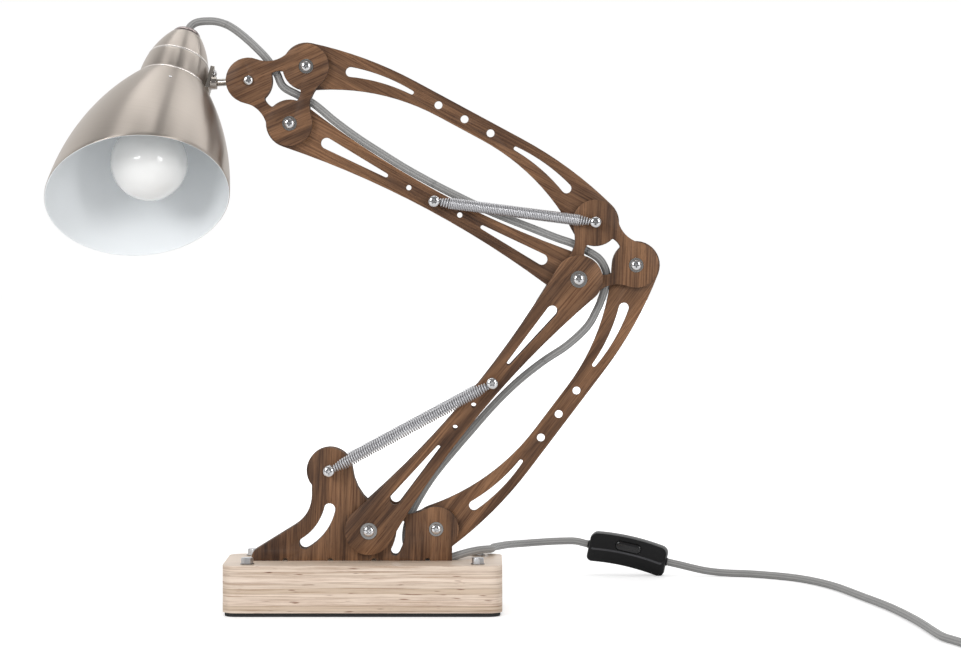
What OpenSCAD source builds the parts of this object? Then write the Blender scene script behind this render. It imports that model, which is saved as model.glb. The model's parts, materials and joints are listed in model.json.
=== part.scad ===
// Two-arm parallel-link desk lamp: a plywood base, paired walnut plates, two
// pairs of slotted links, extension springs and a brushed metal shade.
// Millimetres. +X to the right, +Y away from the front, +Z up.
// The origin is the centre of the underside of the pad.

/* [Base] */
// Width of the base block
base_w = 211; // [195:1:260]
// Depth of the base block
base_d = 90; // [84:1:130]
// Thickness of the base block
base_t = 35.5; // [26:0.5:60]
// Radius of the block's upright corners
base_r = 11; // [4:0.5:20]
// Thickness of the pad under the block
pad_t = 3; // [1.5:0.5:6]
// How far the pad's edge is set in from the block's edge
pad_inset = 1.5; // [0.5:0.5:5]
// Width of the steel ballast plate
ballast_w = 190; // [184:1:192]
// Depth of the steel ballast plate
ballast_d = 76; // [74:1:78]
// Thickness of the steel ballast plate
ballast_t = 6; // [3:0.5:10]
// Distance of each base bolt from the middle, left to right
bolt_x = 87; // [80:1:89]
// Distance of each base bolt from the middle, front to back
bolt_y = 32; // [26:1:33]
// Width across the flats of a base bolt's head
bolt_af = 8; // [7:0.5:10]
// Height of a base bolt's head
bolt_head_h = 3.5; // [2.5:0.5:5]
// Diameter of a base bolt's shank
bolt_d = 5; // [4:0.5:6]

/* [Wooden plates and links] */
// Thickness of every walnut plate and link
ply_t = 4.5; // [3.5:0.25:5.5]
// Gap between neighbouring wooden layers, filled by a washer
layer_gap = 1; // [0.8:0.1:1.6]
// Length of the straight links between pivots
link_len = 249.3; // [240:0.1:262]
// How much longer the lower bowed link is than the straight links
bow_extra = 2.9; // [0:0.1:6]
// Radius of the round ends of the links
link_end_r = 18.3; // [16:0.1:19]
// Half width of a straight link at its middle
link_waist = 7.8; // [7:0.1:12]
// Height of a bowed link's outer edge above its pivots
bow_outer_h = 29.5; // [27:0.1:32]
// Height of a bowed link's inner edge above its pivots
bow_inner_h = 14.2; // [11:0.1:15]
// Radius of the outer edge of a bowed link
bow_outer_r = 300; // [240:1:360]
// Radius of the inner edge of a bowed link
bow_inner_r = 170; // [150:1:190]
// Distance between the pivots of the three-lobed plates
plate_side = 45; // [43:0.1:50]
// Radius of the lobes of the three-lobed plates
lobe_r = 17.3; // [15:0.1:19]
// Radius of the hollows between the lobes
hollow_r = 22; // [18:0.5:30]
// Radius of the ring of wood left round each pivot, beside the star opening
star_web_r = 17.9; // [17:0.1:19]
// Distance of the star opening's tips from its centre
star_tip_r = 14.7; // [13:0.1:16]
// Diameter of the small holes along the straight links
small_hole_d = 4; // [3:0.1:5]
// Spacing of the small holes
small_hole_step = 22; // [18:0.5:26]
// Diameter of the holes along the bowed links
bow_hole_d = 6; // [4:0.1:8]
// Spacing of the holes along the bowed links
bow_hole_step = 22.5; // [18:0.5:26]

/* [Foot] */
// Place of the lower arm's pivot, left to right
foot_x = 4; // [0:0.5:10]
// Height of the lower arm's pivot above the block
foot_pivot_h = 23.2; // [22.4:0.1:30]
// Distance from the lower arm's pivot to the bowed link's pivot
foot_span = 51.2; // [48:0.1:56]
// Distance of the post's screw from the lower arm's pivot, left to right
post_left = 30; // [28:0.5:33]
// Height of the post's screw above the lower arm's pivot
post_up = 45.8; // [43:0.1:50]
// Reach of the toe's tip from the lower arm's pivot
toe_reach = 82.5; // [78:0.5:84]
// Distance of the neck under the post from the lower arm's pivot
neck_left = 43.5; // [42:0.1:45]
// Radius of the foot's round post head
post_r = 17.5; // [15:0.1:20]
// Radius of the foot's right-hand lobe
foot_lobe_r = 17.2; // [15:0.1:20]
// Radius of the hollow between the post and the right-hand lobe
foot_hollow_r = 38.5; // [34:0.5:44]
// Radius of the hollow above the toe
toe_hollow_r = 28; // [24:0.5:32]
// Radius of the toe's tip
toe_tip_r = 7; // [5:0.1:9]
// Height of the strip between the foot plates
keel_h = 7.6; // [5:0.1:8]

/* [Pose] */
// Angle of the lower arm above the horizontal
lower_angle = 50.2; // [48:0.1:54]
// Angle of the upper arm, measured the same way
upper_angle = 151.7; // [146:0.1:156]
// Angle of the shade's stem, measured the same way
stem_angle = 183.5; // [181:0.1:190]
// Lean of the shade in the plane of the arms
shade_lean = 11.5; // [6:0.5:16]
// Turn of the shade toward the front
shade_turn = 30; // [15:1:40]

/* [Screws and springs] */
// Diameter of the pivot screws
screw_d = 5; // [4:0.1:5.4]
// Running clearance round every screw
fit = 0.08; // [0.05:0.01:0.1]
// Diameter of the large screw heads
head_d = 8.4; // [7.5:0.1:10]
// Height of the large screw heads
head_h = 2.6; // [2:0.1:3.5]
// Diameter of the washers under the large screw heads
washer_d = 12.8; // [11:0.1:15]
// Thickness of the washers under the large screw heads
washer_t = 0.8; // [0.6:0.1:1.2]
// Outer diameter of the springs
spring_d = 8.8; // [7:0.1:9.4]
// Diameter of the spring wire
wire_d = 1.3; // [1:0.1:1.6]
// Number of coils drawn on the lower springs
lower_coils = 34; // [20:1:44]
// Number of coils drawn on the upper springs
upper_coils = 30; // [20:1:40]
// Free space between a spring and the wood beside it
spring_gap = 0.5; // [0.3:0.1:1.5]

/* [Shade] */
// Largest radius of the shade
shade_r = 68.5; // [60:0.5:76]
// Radius of the shade's curved side, seen from the side
shade_arc_r = 190; // [170:1:220]
// Distance from the cap to the shade's widest place
shade_widest = 118; // [110:1:126]
// Length of the shade along its middle
shade_len = 98.8; // [94:0.1:106]
// Slant of the shade's opening
rim_slant = 18.9; // [0:0.1:20]
// Direction of the opening's longer side, from the stem side
rim_side = 145; // [90:1:180]
// Thickness of the shade's sheet metal
sheet_t = 1.2; // [0.8:0.1:2]
// Radius of the cap where it sits on the shade
cap_r = 26.4; // [25:0.1:27]
// Length of the cap
cap_len = 44.4; // [40:0.1:52]
// Radius of the cap's curved side, seen from the side
cap_arc_r = 76; // [70:1:90]
// Distance from the cap's pivot to the middle of the shade's neck
stem_reach = 58.9; // [57:0.1:64]
// Diameter of the stem's rod
stem_d = 5.5; // [4.5:0.1:6]
// Radius of the bulb's globe
bulb_r = 29; // [26:0.5:31]
// Distance from the shade's neck to the middle of the globe
bulb_drop = 75; // [70:0.5:80]
// Radius of the lamp holder
holder_r = 19.5; // [18:0.1:20]

/* [Cord and switch] */
// Diameter of the textile cord
cord_d = 6; // [5.4:0.1:6.2]
// Length of the inline switch
switch_len = 66; // [62:1:70]
// Height of the inline switch, standing on its long edge
switch_w = 25; // [23:0.5:27]
// Thickness of the inline switch
switch_t = 15; // [13:0.5:17]
// Middle radius of the stored coil of cord
coil_r = 34; // [32:0.5:38]

/* [Hidden] */
$fn = 64;

// Layers, counted from the middle plane outward
mid_face = ply_t / 2;
plate_in = mid_face + layer_gap;
plate_out = plate_in + ply_t;
outer_in = plate_out + layer_gap;
outer_out = outer_in + ply_t;
lower_spring_y = outer_out + spring_gap + spring_d / 2;
upper_spring_y = plate_out + spring_gap + spring_d / 2;
eye_half = wire_d / 2 + 0.1;

// Heights
block_top = pad_t + base_t;
bolt_gap = 0.4;

// Places in the X-Z plane
function pol(r, a) = r * [cos(a), sin(a)];
function ang(p, q) = atan2(q.y - p.y, q.x - p.x);
function meet(p, rp, q, rq, side) =
    let (d = norm(q - p), x = (d * d + rp * rp - rq * rq) / (2 * d))
    p + pol(x, ang(p, q)) + pol(side * sqrt(rp * rp - x * x), ang(p, q) + 90);
piv_a = [foot_x, block_top + foot_pivot_h];
piv_b = piv_a + [foot_span, 1];
post = piv_a + [-post_left, post_up];
lower_bow_len = link_len + bow_extra;
piv_p = piv_a + pol(link_len, lower_angle);
piv_q = meet(piv_p, plate_side, piv_b, lower_bow_len, 1);
elbow_angle = ang(piv_p, piv_q);
piv_u = piv_p + pol(plate_side, elbow_angle + 60);
piv_h1 = piv_p + pol(link_len, upper_angle);
piv_h2 = piv_h1 + pol(plate_side, elbow_angle + 60);
piv_h3 = piv_h1 + pol(plate_side, elbow_angle + 120);
low_pin = piv_a + pol(link_len / 2 + small_hole_step, lower_angle);
up_pin = piv_p + pol(link_len / 2, upper_angle);
neck = piv_h3 + pol(stem_reach, stem_angle);

// The cord lies in a groove where it runs under the bowed link, then climbs
// out of it along a ramp
cord_groove = 3.6;
groove_d = cord_d + 0.4;
groove_slope = 15.5;
cord_z = block_top + cord_d / 2 - cord_groove;

// Play at the lower bowed link's foot end: the four bars turn at changing
// ratios, and this hole takes up the difference, behind a wide washer
foot_play = 1.4;
wide_washer_d = 22;

// Outlines
function arc(c, r, a0, a1, n) = [for (i = [0 : n]) c + pol(r, a0 + (a1 - a0) * i / n)];
function inner(pts) = [for (i = [1 : len(pts) - 2]) pts[i]];
function place(pts, at, a) =
    [for (p = pts) at + [p.x * cos(a) - p.y * sin(a), p.x * sin(a) + p.y * cos(a)]];
function flip(pts) = [for (p = pts) [p.x, -p.y]];
function nearest(a, ref) = a + 360 * round((ref - a) / 360);

// A slot whose middle line bulges to the left of p-q, round at both ends
function slot(p, rp, q, rq, bulge, n = 10) =
    let (c = norm(q - p), m = (c * c / 4 + bulge * bulge) / (2 * bulge),
         mid = (p + q) / 2, o = mid + pol(m - bulge, ang(p, q) - 90),
         a = ang(o, p), sweep = 2 * asin(c / 2 / m))
    concat([for (i = [0 : n]) o + pol(m + rp + (rq - rp) * i / n, a - sweep * i / n)],
           inner(arc(q, rq, a - sweep, a - sweep - 180, 8)),
           [for (i = [n : -1 : 0]) o + pol(m - rp - (rq - rp) * i / n, a - sweep * i / n)],
           inner(arc(p, rp, a - 180, a - 360, 8)));

function straight_outline(l) =
    let (w = link_waist, r = link_end_r,
         big = (l * l / 4 + w * w - r * r) / (2 * (r - w)), t = atan2(w + big, l / 2))
    concat(arc([0, 0], r, t, 360 - t, 22),
           inner(arc([l / 2, -w - big], big, 180 - t, t, 14)),
           arc([l, 0], r, t - 180, 180 - t, 22),
           inner(arc([l / 2, w + big], big, -t, t - 180, 14)));

function bowed_outline(l) =
    let (r = link_end_r, ho = bow_outer_h, ro = bow_outer_r, hi = bow_inner_h, ri = bow_inner_r,
         xo = sqrt((ho - r) * (2 * ro - r - ho)), xi = sqrt(pow(r + ri, 2) - pow(ri - hi, 2)),
         to = atan2(ro - ho, -xo), ti = atan2(ri - hi, xi))
    concat(arc([0, 0], r, to, 360 - ti, 20),
           inner(arc([xi, hi - ri], ri, 180 - ti, 90, 12)), [[xi, hi], [l - xi, hi]],
           inner(arc([l - xi, hi - ri], ri, 90, ti, 12)),
           arc([l, 0], r, ti - 180, 180 - to, 20),
           inner(arc([l - xo, ho - ro], ro, 180 - to, 90, 8)), [[l - xo, ho], [xo, ho]],
           inner(arc([xo, ho - ro], ro, 90, to, 8)));

function plate_centre() = [plate_side / 2, plate_side / 2 / sqrt(3)];
function turned(pts, k) = place([for (p = pts) p - plate_centre()], plate_centre(), 120 * k);
function lobed_outline() =
    let (h = sqrt(pow(lobe_r + hollow_r, 2) - pow(plate_side / 2, 2)),
         d = atan2(h, plate_side / 2))
    [for (k = [0 : 2]) each turned(
        concat(arc([0, 0], lobe_r, 60 + d, 360 - d, 16),
               inner(arc([plate_side / 2, -h], hollow_r, 180 - d, d, 10))), k)];
function star_outline() =
    let (g = plate_centre(), f = 2, gp = norm(g), rc = star_tip_r - f, rp = star_web_r + f,
         off = 60 - acos((rc * rc + gp * gp - rp * rp) / (2 * rc * gp)),
         f1 = g + pol(rc, 270 - off), f2 = g + pol(rc, 270 + off), b = ang([0, 0], f1))
    [for (k = [0 : 2]) each turned(
        concat(inner(arc([0, 0], star_web_r, 60 - b, b, 12)),
               arc(f1, f, nearest(ang(f1, [0, 0]), 200), 270 - off, 5),
               inner(arc(g, star_tip_r, 270 - off, 270 + off, 4)),
               arc(f2, f, 270 + off, nearest(ang(f2, [plate_side, 0]), 340), 5)), k)];

function foot_outline() =
    let (floor_y = -foot_pivot_h, tip = [-toe_reach, floor_y + 2.7],
         hollow = [-neck_left - toe_hollow_r, post_up - 18.3], pc = post - piv_a,
         bc = piv_b - piv_a,
         cross = asin((toe_tip_r + toe_hollow_r) / norm(hollow - tip)),
         tan_a = ang(tip, hollow) - cross + 90,
         start = 180 + asin((tip.y - floor_y) / toe_tip_r),
         left = acos((pc.x + neck_left) / post_r),
         fc = meet(pc, post_r + foot_hollow_r, bc, foot_lobe_r + foot_hollow_r, 1),
         right_x = bc.x + foot_lobe_r - 5.1, low = acos((right_x - bc.x) / foot_lobe_r))
    concat(arc(tip, toe_tip_r, start, tan_a, 6),
           arc(hollow, toe_hollow_r, tan_a - 180, 0, 8),
           arc(pc, post_r, 180 + left, ang(pc, fc), 20),
           inner(arc(fc, foot_hollow_r, ang(fc, pc) - 360, ang(fc, bc) - 360, 10)),
           arc(bc, foot_lobe_r, ang(bc, fc), -low, 18),
           [[right_x, floor_y]]);
toe_slot = slot([-post_left - 0.1, post_up - 29.5], 4.4, [-neck_left - 5.5, -9.9], 4.4, 3.4);
heel_slot = slot([24.2, 4.5], 3.4, [19.9, -15.8], 3.4, 1.5, 6);
notches = [18.5 - toe_reach, -29.3, 3.8, foot_span - 6.6];

// A flat piece lying in the arms' plane, from y0 toward the back
module slab(y0, t) {
    translate([0, y0 + t, 0]) rotate([90, 0, 0]) linear_extrude(t) children();
}
// A round bar along Y at a place in the X-Z plane
module bar(at, r, y0, y1, sides = 64) {
    translate([at.x, y1, at.y]) rotate([90, 0, 0]) cylinder(r = r, h = y1 - y0, $fn = sides);
}
module bore(at, d) { bar(at, d / 2, -60, 60); }
module washer(at, d, y0, y1) {
    difference() {
        bar(at, d / 2, y0, y1);
        bore(at, screw_d + 2 * fit);
    }
}
// A screw through everything between the two y faces: head in front, nut behind
module through_screw(at, y_front, y_back, hd, hh, wd, wt) {
    difference() {
        union() {
            bar(at, screw_d / 2, y_front - wt - hh / 2, y_back + wt + 4.6);
            bar(at, wd / 2, y_front - wt, y_front);
            bar(at, wd / 2, y_back, y_back + wt);
            bar(at, hd / 2, y_front - wt - hh, y_front - wt);
            bar(at, 4.4, y_back + wt, y_back + wt + 3.6, 6);
        }
        translate([at.x, y_front - wt - hh, at.y]) cube([4, 1.6, 1], center = true);
        translate([at.x, y_front - wt - hh, at.y]) cube([1, 1.6, 4], center = true);
    }
}

module base_outline(w, d, r) {
    cx = w / 2 - r;
    cy = d / 2 - r;
    polygon(concat(arc([cx, cy], r, 0, 90, 6), arc([-cx, cy], r, 90, 180, 6),
                   arc([-cx, -cy], r, 180, 270, 6), arc([cx, -cy], r, 270, 360, 6)));
}
module bolt_places() {
    for (sx = [-1, 1], sy = [-1, 1]) translate([sx * bolt_x, sy * bolt_y, 0]) children();
}
module base_block() {
    pocket = ballast_t + 0.3;
    color("burlywood") difference() {
        translate([0, 0, pad_t]) linear_extrude(base_t) base_outline(base_w, base_d, base_r);
        translate([piv_b.x - 24, 0, cord_z]) rotate([0, 90, 0]) cylinder(d = groove_d, h = 28);
        translate([piv_b.x + 2.8, 0, cord_z]) rotate([0, 90 - groove_slope, 0])
            cylinder(d = groove_d, h = 24);
        translate([0, 0, pad_t - 1])
            linear_extrude(pocket + 1) base_outline(ballast_w + 0.6, ballast_d + 0.6, 5);
        bolt_places() cylinder(d = bolt_d + bolt_gap, h = block_top + 1);
    }
}
module base_pad() {
    color("black") linear_extrude(pad_t)
        base_outline(base_w - 2 * pad_inset, base_d - 2 * pad_inset, base_r - pad_inset);
}
module ballast_plate() {
    color("dimgray") difference() {
        translate([0, 0, pad_t]) linear_extrude(ballast_t) base_outline(ballast_w, ballast_d, 4.7);
        bolt_places() translate([0, 0, pad_t - 1]) cylinder(d = bolt_d, h = ballast_t + 2);
    }
}
module base_bolt(sx, sy) {
    color("silver") translate([sx * bolt_x, sy * bolt_y, 0]) {
        translate([0, 0, pad_t + 0.5]) cylinder(d = bolt_d, h = base_t);
        translate([0, 0, block_top]) cylinder(d = bolt_af + 2.6, h = 0.9);
        translate([0, 0, block_top + 0.9])
            cylinder(d = bolt_af / cos(30), h = bolt_head_h, $fn = 6);
    }
}

module foot_plate(y0) {
    color("saddlebrown") difference() {
        slab(y0, ply_t) difference() {
            polygon(place(foot_outline(), piv_a, 0));
            polygon(place(toe_slot, piv_a, 0));
            polygon(place(heel_slot, piv_a, 0));
        }
        bore(piv_a, screw_d + 2 * fit);
        bore(piv_b, screw_d + 2 * fit);
        bore(post, screw_d + 2 * fit);
        for (x = notches) bore([piv_a.x + x, block_top], 4);
    }
}
module foot_keel() {
    x0 = piv_a.x - toe_reach + 4.5;
    x1 = piv_a.x + 14;
    color("peru") translate([x0, -plate_in, block_top]) cube([x1 - x0, 2 * plate_in, keel_h]);
}
module foot_spacers() {
    color("gray") {
        washer(piv_a, 9, -plate_in, plate_in);
        washer(post, 9, -plate_in, plate_in);
        for (s = [0, 1]) mirror([0, s, 0]) {
            washer(piv_a, washer_d, plate_out, outer_in);
            washer(piv_b, wide_washer_d, mid_face, plate_in);
        }
    }
}
module foot_bolt_a() {
    color("silver") through_screw(piv_a, -outer_out, outer_out, head_d, head_h, washer_d, washer_t);
}
module foot_bolt_b() {
    color("silver")
        through_screw(piv_b, -plate_out, plate_out, head_d - 0.8, head_h, washer_d - 1.8, washer_t);
}
// A screw across the lamp that carries a spring eye at each end
module spring_pin(at, y_wood, y_eye, inner_spacer) {
    color("silver") {
        bar(at, screw_d / 2, -y_eye - eye_half - 0.2, y_eye + eye_half + 0.2);
        for (s = [0, 1]) mirror([0, s, 0]) {
            bar(at, 4.2, y_wood, y_eye - eye_half);
            bar(at, 4.2, y_eye + eye_half, y_eye + eye_half + 2.4);
        }
        if (inner_spacer > 0) bar(at, 4, -inner_spacer, inner_spacer);
    }
}
module foot_post_pin() { spring_pin(post, plate_out, lower_spring_y, 0); }

module straight_link(at, a, y0, rounds) {
    slot_a = slot([31.5, 0], 4.2, [83, 0], 1.5, 0.01);
    slot_b = slot([link_len - 83, 0], 1.5, [link_len - 31.5, 0], 4.2, 0.01);
    difference() {
        slab(y0, ply_t) difference() {
            polygon(place(straight_outline(link_len), at, a));
            polygon(place(slot_a, at, a));
            polygon(place(slot_b, at, a));
        }
        bore(at, screw_d + 2 * fit);
        bore(at + pol(link_len, a), screw_d + 2 * fit);
        for (k = [-1 : 1])
            bore(at + pol(link_len / 2 + k * small_hole_step, a),
                 k == rounds ? screw_d + 2 * fit : small_hole_d);
    }
}
module bowed_link(at, l, a, up, foot_bore) {
    wide = [31.4, 12.4];
    thin = [79.8, 20.7];
    s = up ? 1 : -1;
    slot_a = slot(wide, 3.8, thin, 1.5, 2.2);
    slot_b = slot([l - thin.x, thin.y], 1.5, [l - wide.x, wide.y], 3.8, 2.2);
    function side(pts) = place(up ? pts : flip(pts), at, a);
    difference() {
        slab(-mid_face, ply_t) difference() {
            polygon(side(bowed_outline(l)));
            polygon(side(slot_a));
            polygon(side(slot_b));
        }
        bore(at, foot_bore);
        bore(at + pol(l, a), screw_d + 2 * fit);
        for (k = [-1 : 1])
            bore(side([[l / 2 + k * bow_hole_step, (bow_outer_h + bow_inner_h) / 2]])[0],
                 bow_hole_d);
    }
}
module lower_link(y0) { color("sienna") straight_link(piv_a, lower_angle, y0, 1); }
module lower_spring_pin() { spring_pin(low_pin, outer_out, lower_spring_y, outer_in); }
module lower_bowed_link() {
    color("sienna") bowed_link(piv_b, lower_bow_len, ang(piv_b, piv_q), false,
                               screw_d + 2 * (foot_play + fit));
}

module lobed_plate(at, a, y0) {
    color("saddlebrown") difference() {
        slab(y0, ply_t) difference() {
            polygon(place(lobed_outline(), at, a));
            polygon(place(star_outline(), at, a));
        }
        for (c = [[0, 0], [plate_side, 0], pol(plate_side, 60)])
            bore(place([c], at, a)[0], screw_d + 2 * fit);
    }
}
module elbow_plate(y0) { lobed_plate(piv_p, elbow_angle, y0); }
module elbow_bolt_p() {
    color("silver") through_screw(piv_p, -outer_out, outer_out, head_d, head_h, washer_d, washer_t);
}
module elbow_bolt_q() {
    color("silver")
        through_screw(piv_q, -plate_out, plate_out, head_d - 0.8, head_h, washer_d - 1.8, washer_t);
}
module elbow_bolt_u() { spring_pin(piv_u, plate_out, upper_spring_y, 0); }
module elbow_washers() {
    color("gray") for (s = [0, 1]) mirror([0, s, 0]) {
        for (c = [piv_p, piv_q, piv_u]) washer(c, 12, mid_face, plate_in);
        washer(piv_p, washer_d, plate_out, outer_in);
    }
}
module upper_link() { color("sienna") straight_link(piv_p, upper_angle, -mid_face, 0); }
module upper_spring_pin() { spring_pin(up_pin, mid_face, upper_spring_y, 0); }
module upper_bowed_link() {
    color("sienna") bowed_link(piv_h2, link_len, ang(piv_h2, piv_u), true, screw_d + 2 * fit);
}

// The head plate's third pivot carries the shade, on the side away from the elbow
module head_plate(y0) { lobed_plate(piv_h2, elbow_angle + 180, y0); }
module head_bolt(at) {
    color("silver") through_screw(at, -plate_out, plate_out, head_d - 0.8, head_h, washer_d - 1.8,
                                  washer_t);
}
module head_bolt_tilt() {
    color("silver") through_screw(piv_h3, -plate_out, plate_out, 7.5, head_h, 7.5, 0.3);
}
module head_washers() {
    color("gray") for (s = [0, 1]) mirror([0, s, 0])
        for (c = [piv_h1, piv_h2]) washer(c, 12, mid_face, plate_in);
}

// The stem: an eye between the head plates and a rod to the knuckle
knuckle_reach = 8;
stem_rod = stem_reach - cap_r - knuckle_reach + 4;
module along_stem(dist) {
    translate([piv_h3.x, 0, piv_h3.y]) rotate([0, -stem_angle, 0]) translate([dist, 0, 0])
        rotate([0, 90, 0]) children();
}
module lamp_stem() {
    color("silver") difference() {
        union() {
            bar(piv_h3, 6.5, -plate_in + 0.05, plate_in - 0.05);
            along_stem(5) cylinder(d = stem_d, h = stem_rod - 5);
        }
        bore(piv_h3, screw_d + 2 * fit);
    }
}

// Shade frame: origin at the neck, +Z along the shade's axis toward the cap
module at_neck() {
    translate([neck.x, 0, neck.y]) rotate([-shade_turn, 0, 0]) rotate([0, shade_lean, 0])
        children();
}
function shade_out(t) = shade_r - shade_arc_r
    + sqrt(pow(shade_arc_r, 2) - pow(shade_widest - t, 2));
function cap_out(s) = cap_r - cap_arc_r + sqrt(pow(cap_arc_r, 2) - s * s);
rim_reach = shade_len + shade_r * tan(rim_slant) + 6;
shade_steps = 18;
module shade_body() {
    hole = holder_r + 0.3;
    outer = [for (i = [0 : shade_steps]) let (t = rim_reach * i / shade_steps)
        [shade_out(t), -t]];
    inside = [for (i = [shade_steps : -1 : 0])
        let (t = max(sheet_t, rim_reach * i / shade_steps)) [shade_out(t) - sheet_t, -t]];
    side = 4 * shade_r;
    color("lightgray") at_neck() difference() {
        rotate_extrude() polygon(concat([[hole, 0]], outer, inside, [[hole, -sheet_t]]));
        translate([0, 0, -shade_len]) rotate([0, 0, rim_side]) rotate([0, rim_slant, 0])
            translate([-side / 2, -side / 2, -side]) cube(side);
    }
}
cap_steps = 10;
groove_s = 20.5;
cord_hole = cord_d / 2 + 0.4;
module shade_cap() {
    outer = [for (i = [0 : cap_steps]) let (s = cap_len * i / cap_steps) [cap_out(s), s]];
    inside = [for (i = [cap_steps : -1 : 0])
        let (s = min(cap_len - sheet_t, cap_len * i / cap_steps)) [cap_out(s) - sheet_t, s]];
    color("silver") at_neck() difference() {
        rotate_extrude() polygon(concat(outer, [[cord_hole, cap_len], [cord_hole, cap_len - sheet_t]],
                                        inside));
        translate([0, 0, groove_s]) rotate_extrude()
            translate([cap_out(groove_s), 0]) square([0.8, 0.8], center = true);
    }
}
ferrule_r = cap_out(cap_len) - 1;
ferrule_h = 4.5;
module cap_ferrule() {
    color("gray") at_neck() translate([0, 0, cap_len]) rotate_extrude()
        polygon([[cord_hole, 0], [ferrule_r, 0], [ferrule_r - 0.6, 1.6], [ferrule_r - 3, 3.4],
                 [ferrule_r - 6, ferrule_h], [cord_hole, ferrule_h]]);
}
holder_low = 34;
holder_high = 24;
base_low = 36;
module lamp_holder() {
    color("ivory") at_neck() difference() {
        translate([0, 0, -holder_low]) rotate_extrude()
            polygon([[0, 0], [holder_r, 0], [holder_r, holder_low + 4],
                     [15, holder_low + 12], [13, holder_low + holder_high],
                     [0, holder_low + holder_high]]);
        translate([0, 0, -holder_low - 1]) cylinder(r = 14, h = holder_low - 6);
        translate([0, 0, 5]) cylinder(r = cord_hole, h = 40);
    }
}
module bulb_glass() {
    join_a = 38;
    color("white") at_neck() rotate_extrude() polygon(concat(
        [[0, -bulb_drop - bulb_r]],
        [for (a = [-80 : 10 : join_a]) [bulb_r * cos(a), -bulb_drop + bulb_r * sin(a)]],
        [[16.5, -48], [14.6, -42], [14, -base_low], [0, -base_low]]));
}
module bulb_base() {
    color("silver") at_neck() translate([0, 0, -base_low]) rotate_extrude()
        polygon([[0, 0], [13.4, 0], [13.4, 20], [6, 24], [5, 26], [0, 26]]);
}
// The knuckle: a curved strap on the cap, a boss for the stem and a clamping screw
strap_x = cap_out(11) + 3.5;
strap_h = 19.7;
knuckle_screw_d = 6;
module shade_knuckle() {
    color("gray") difference() {
        union() {
            at_neck() translate([strap_x - 5, -6, 0.3]) cube([5, 12, strap_h]);
            along_stem(stem_reach - cap_r - knuckle_reach) cylinder(d = 10, h = knuckle_reach + 1);
        }
        at_neck() translate([0, 0, -1]) cylinder(r = cap_r + 0.1, h = 30);
        at_neck() rotate_extrude() polygon([[0, 0], [shade_out(0) + 1, 0], [shade_out(8), -8],
                                            [0, -8]]);
        along_stem(0) cylinder(d = stem_d + 2 * fit, h = stem_rod + 0.3);
    }
}
module knuckle_screw() {
    color("silver") at_neck() translate([strap_x, 0, strap_h - knuckle_screw_d / 2 - 0.2])
        rotate([0, 90, 0]) cylinder(d = knuckle_screw_d, h = 2);
}

// An extension spring drawn as a ribbed sleeve with an eye at each end
module spring(p, q, y, coils) {
    l = norm(q - p);
    eye_r = screw_d / 2 + 0.35 + wire_d / 2;
    body0 = eye_r + 5;
    pitch = (l - 2 * body0) / coils;
    r_out = spring_d / 2;
    ribs = [for (i = [0 : coils - 1]) each
        [[r_out - wire_d / 2, i * pitch], [r_out, (i + 0.5) * pitch]]];
    color("silver") translate([p.x, y, p.y]) rotate([0, -ang(p, q), 0]) {
        translate([body0, 0, 0]) rotate([0, 90, 0]) rotate_extrude($fn = 24)
            polygon(concat([[0, 0]], ribs, [[r_out - wire_d / 2, coils * pitch],
                                            [0, coils * pitch]]));
        for (e = [[0, 0], [l, 180]]) translate([e[0], 0, 0]) rotate([0, e[1], 0]) {
            rotate([90, 0, 0]) rotate_extrude($fn = 32) translate([eye_r, 0])
                circle(d = wire_d, $fn = 16);
            translate([eye_r, 0, 0]) rotate([0, 90, 0]) cylinder(d = wire_d, h = 5.5, $fn = 16);
        }
    }
}
module lower_spring(s) { spring(post, low_pin, s * lower_spring_y, lower_coils); }
module upper_spring(s) { spring(up_pin, piv_u, s * upper_spring_y, upper_coils); }

// Cords. A tube is swept along a smooth curve through hand-picked points.
function unit(v) = v / norm(v);
function bend(p0, p1, p2, p3, t) =
    0.5 * ((2 * p1) + (p2 - p0) * t + (2 * p0 - 5 * p1 + 4 * p2 - p3) * t * t
           + (3 * p1 - p0 - 3 * p2 + p3) * t * t * t);
function smooth(pts, n) = let (last = len(pts) - 1)
    concat([for (i = [0 : last - 1], k = [0 : n - 1])
                bend(pts[max(i - 1, 0)], pts[i], pts[i + 1], pts[min(i + 2, last)], k / n)],
           [pts[last]]);
function tangent(path, i) = unit(path[min(i + 1, len(path) - 1)] - path[max(i - 1, 0)]);
module tube(path, first, last, d, across, sides = 8) {
    count = last - first;
    rings = [for (i = [first : last])
        let (t = tangent(path, i), u = unit(cross(t, across)), v = cross(t, u))
        for (k = [0 : sides - 1]) let (a = 360 * (k + 0.5) / sides)
            path[i] + d / 2 * (u * cos(a) + v * sin(a))];
    walls = [for (i = [0 : count - 1], k = [0 : sides - 1])
        [i * sides + k, (i + 1) * sides + k,
         (i + 1) * sides + (k + 1) % sides, i * sides + (k + 1) % sides]];
    ends = [[for (k = [0 : sides - 1]) k],
            [for (k = [sides - 1 : -1 : 0]) count * sides + k]];
    polyhedron(rings, concat(walls, ends));
}

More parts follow.
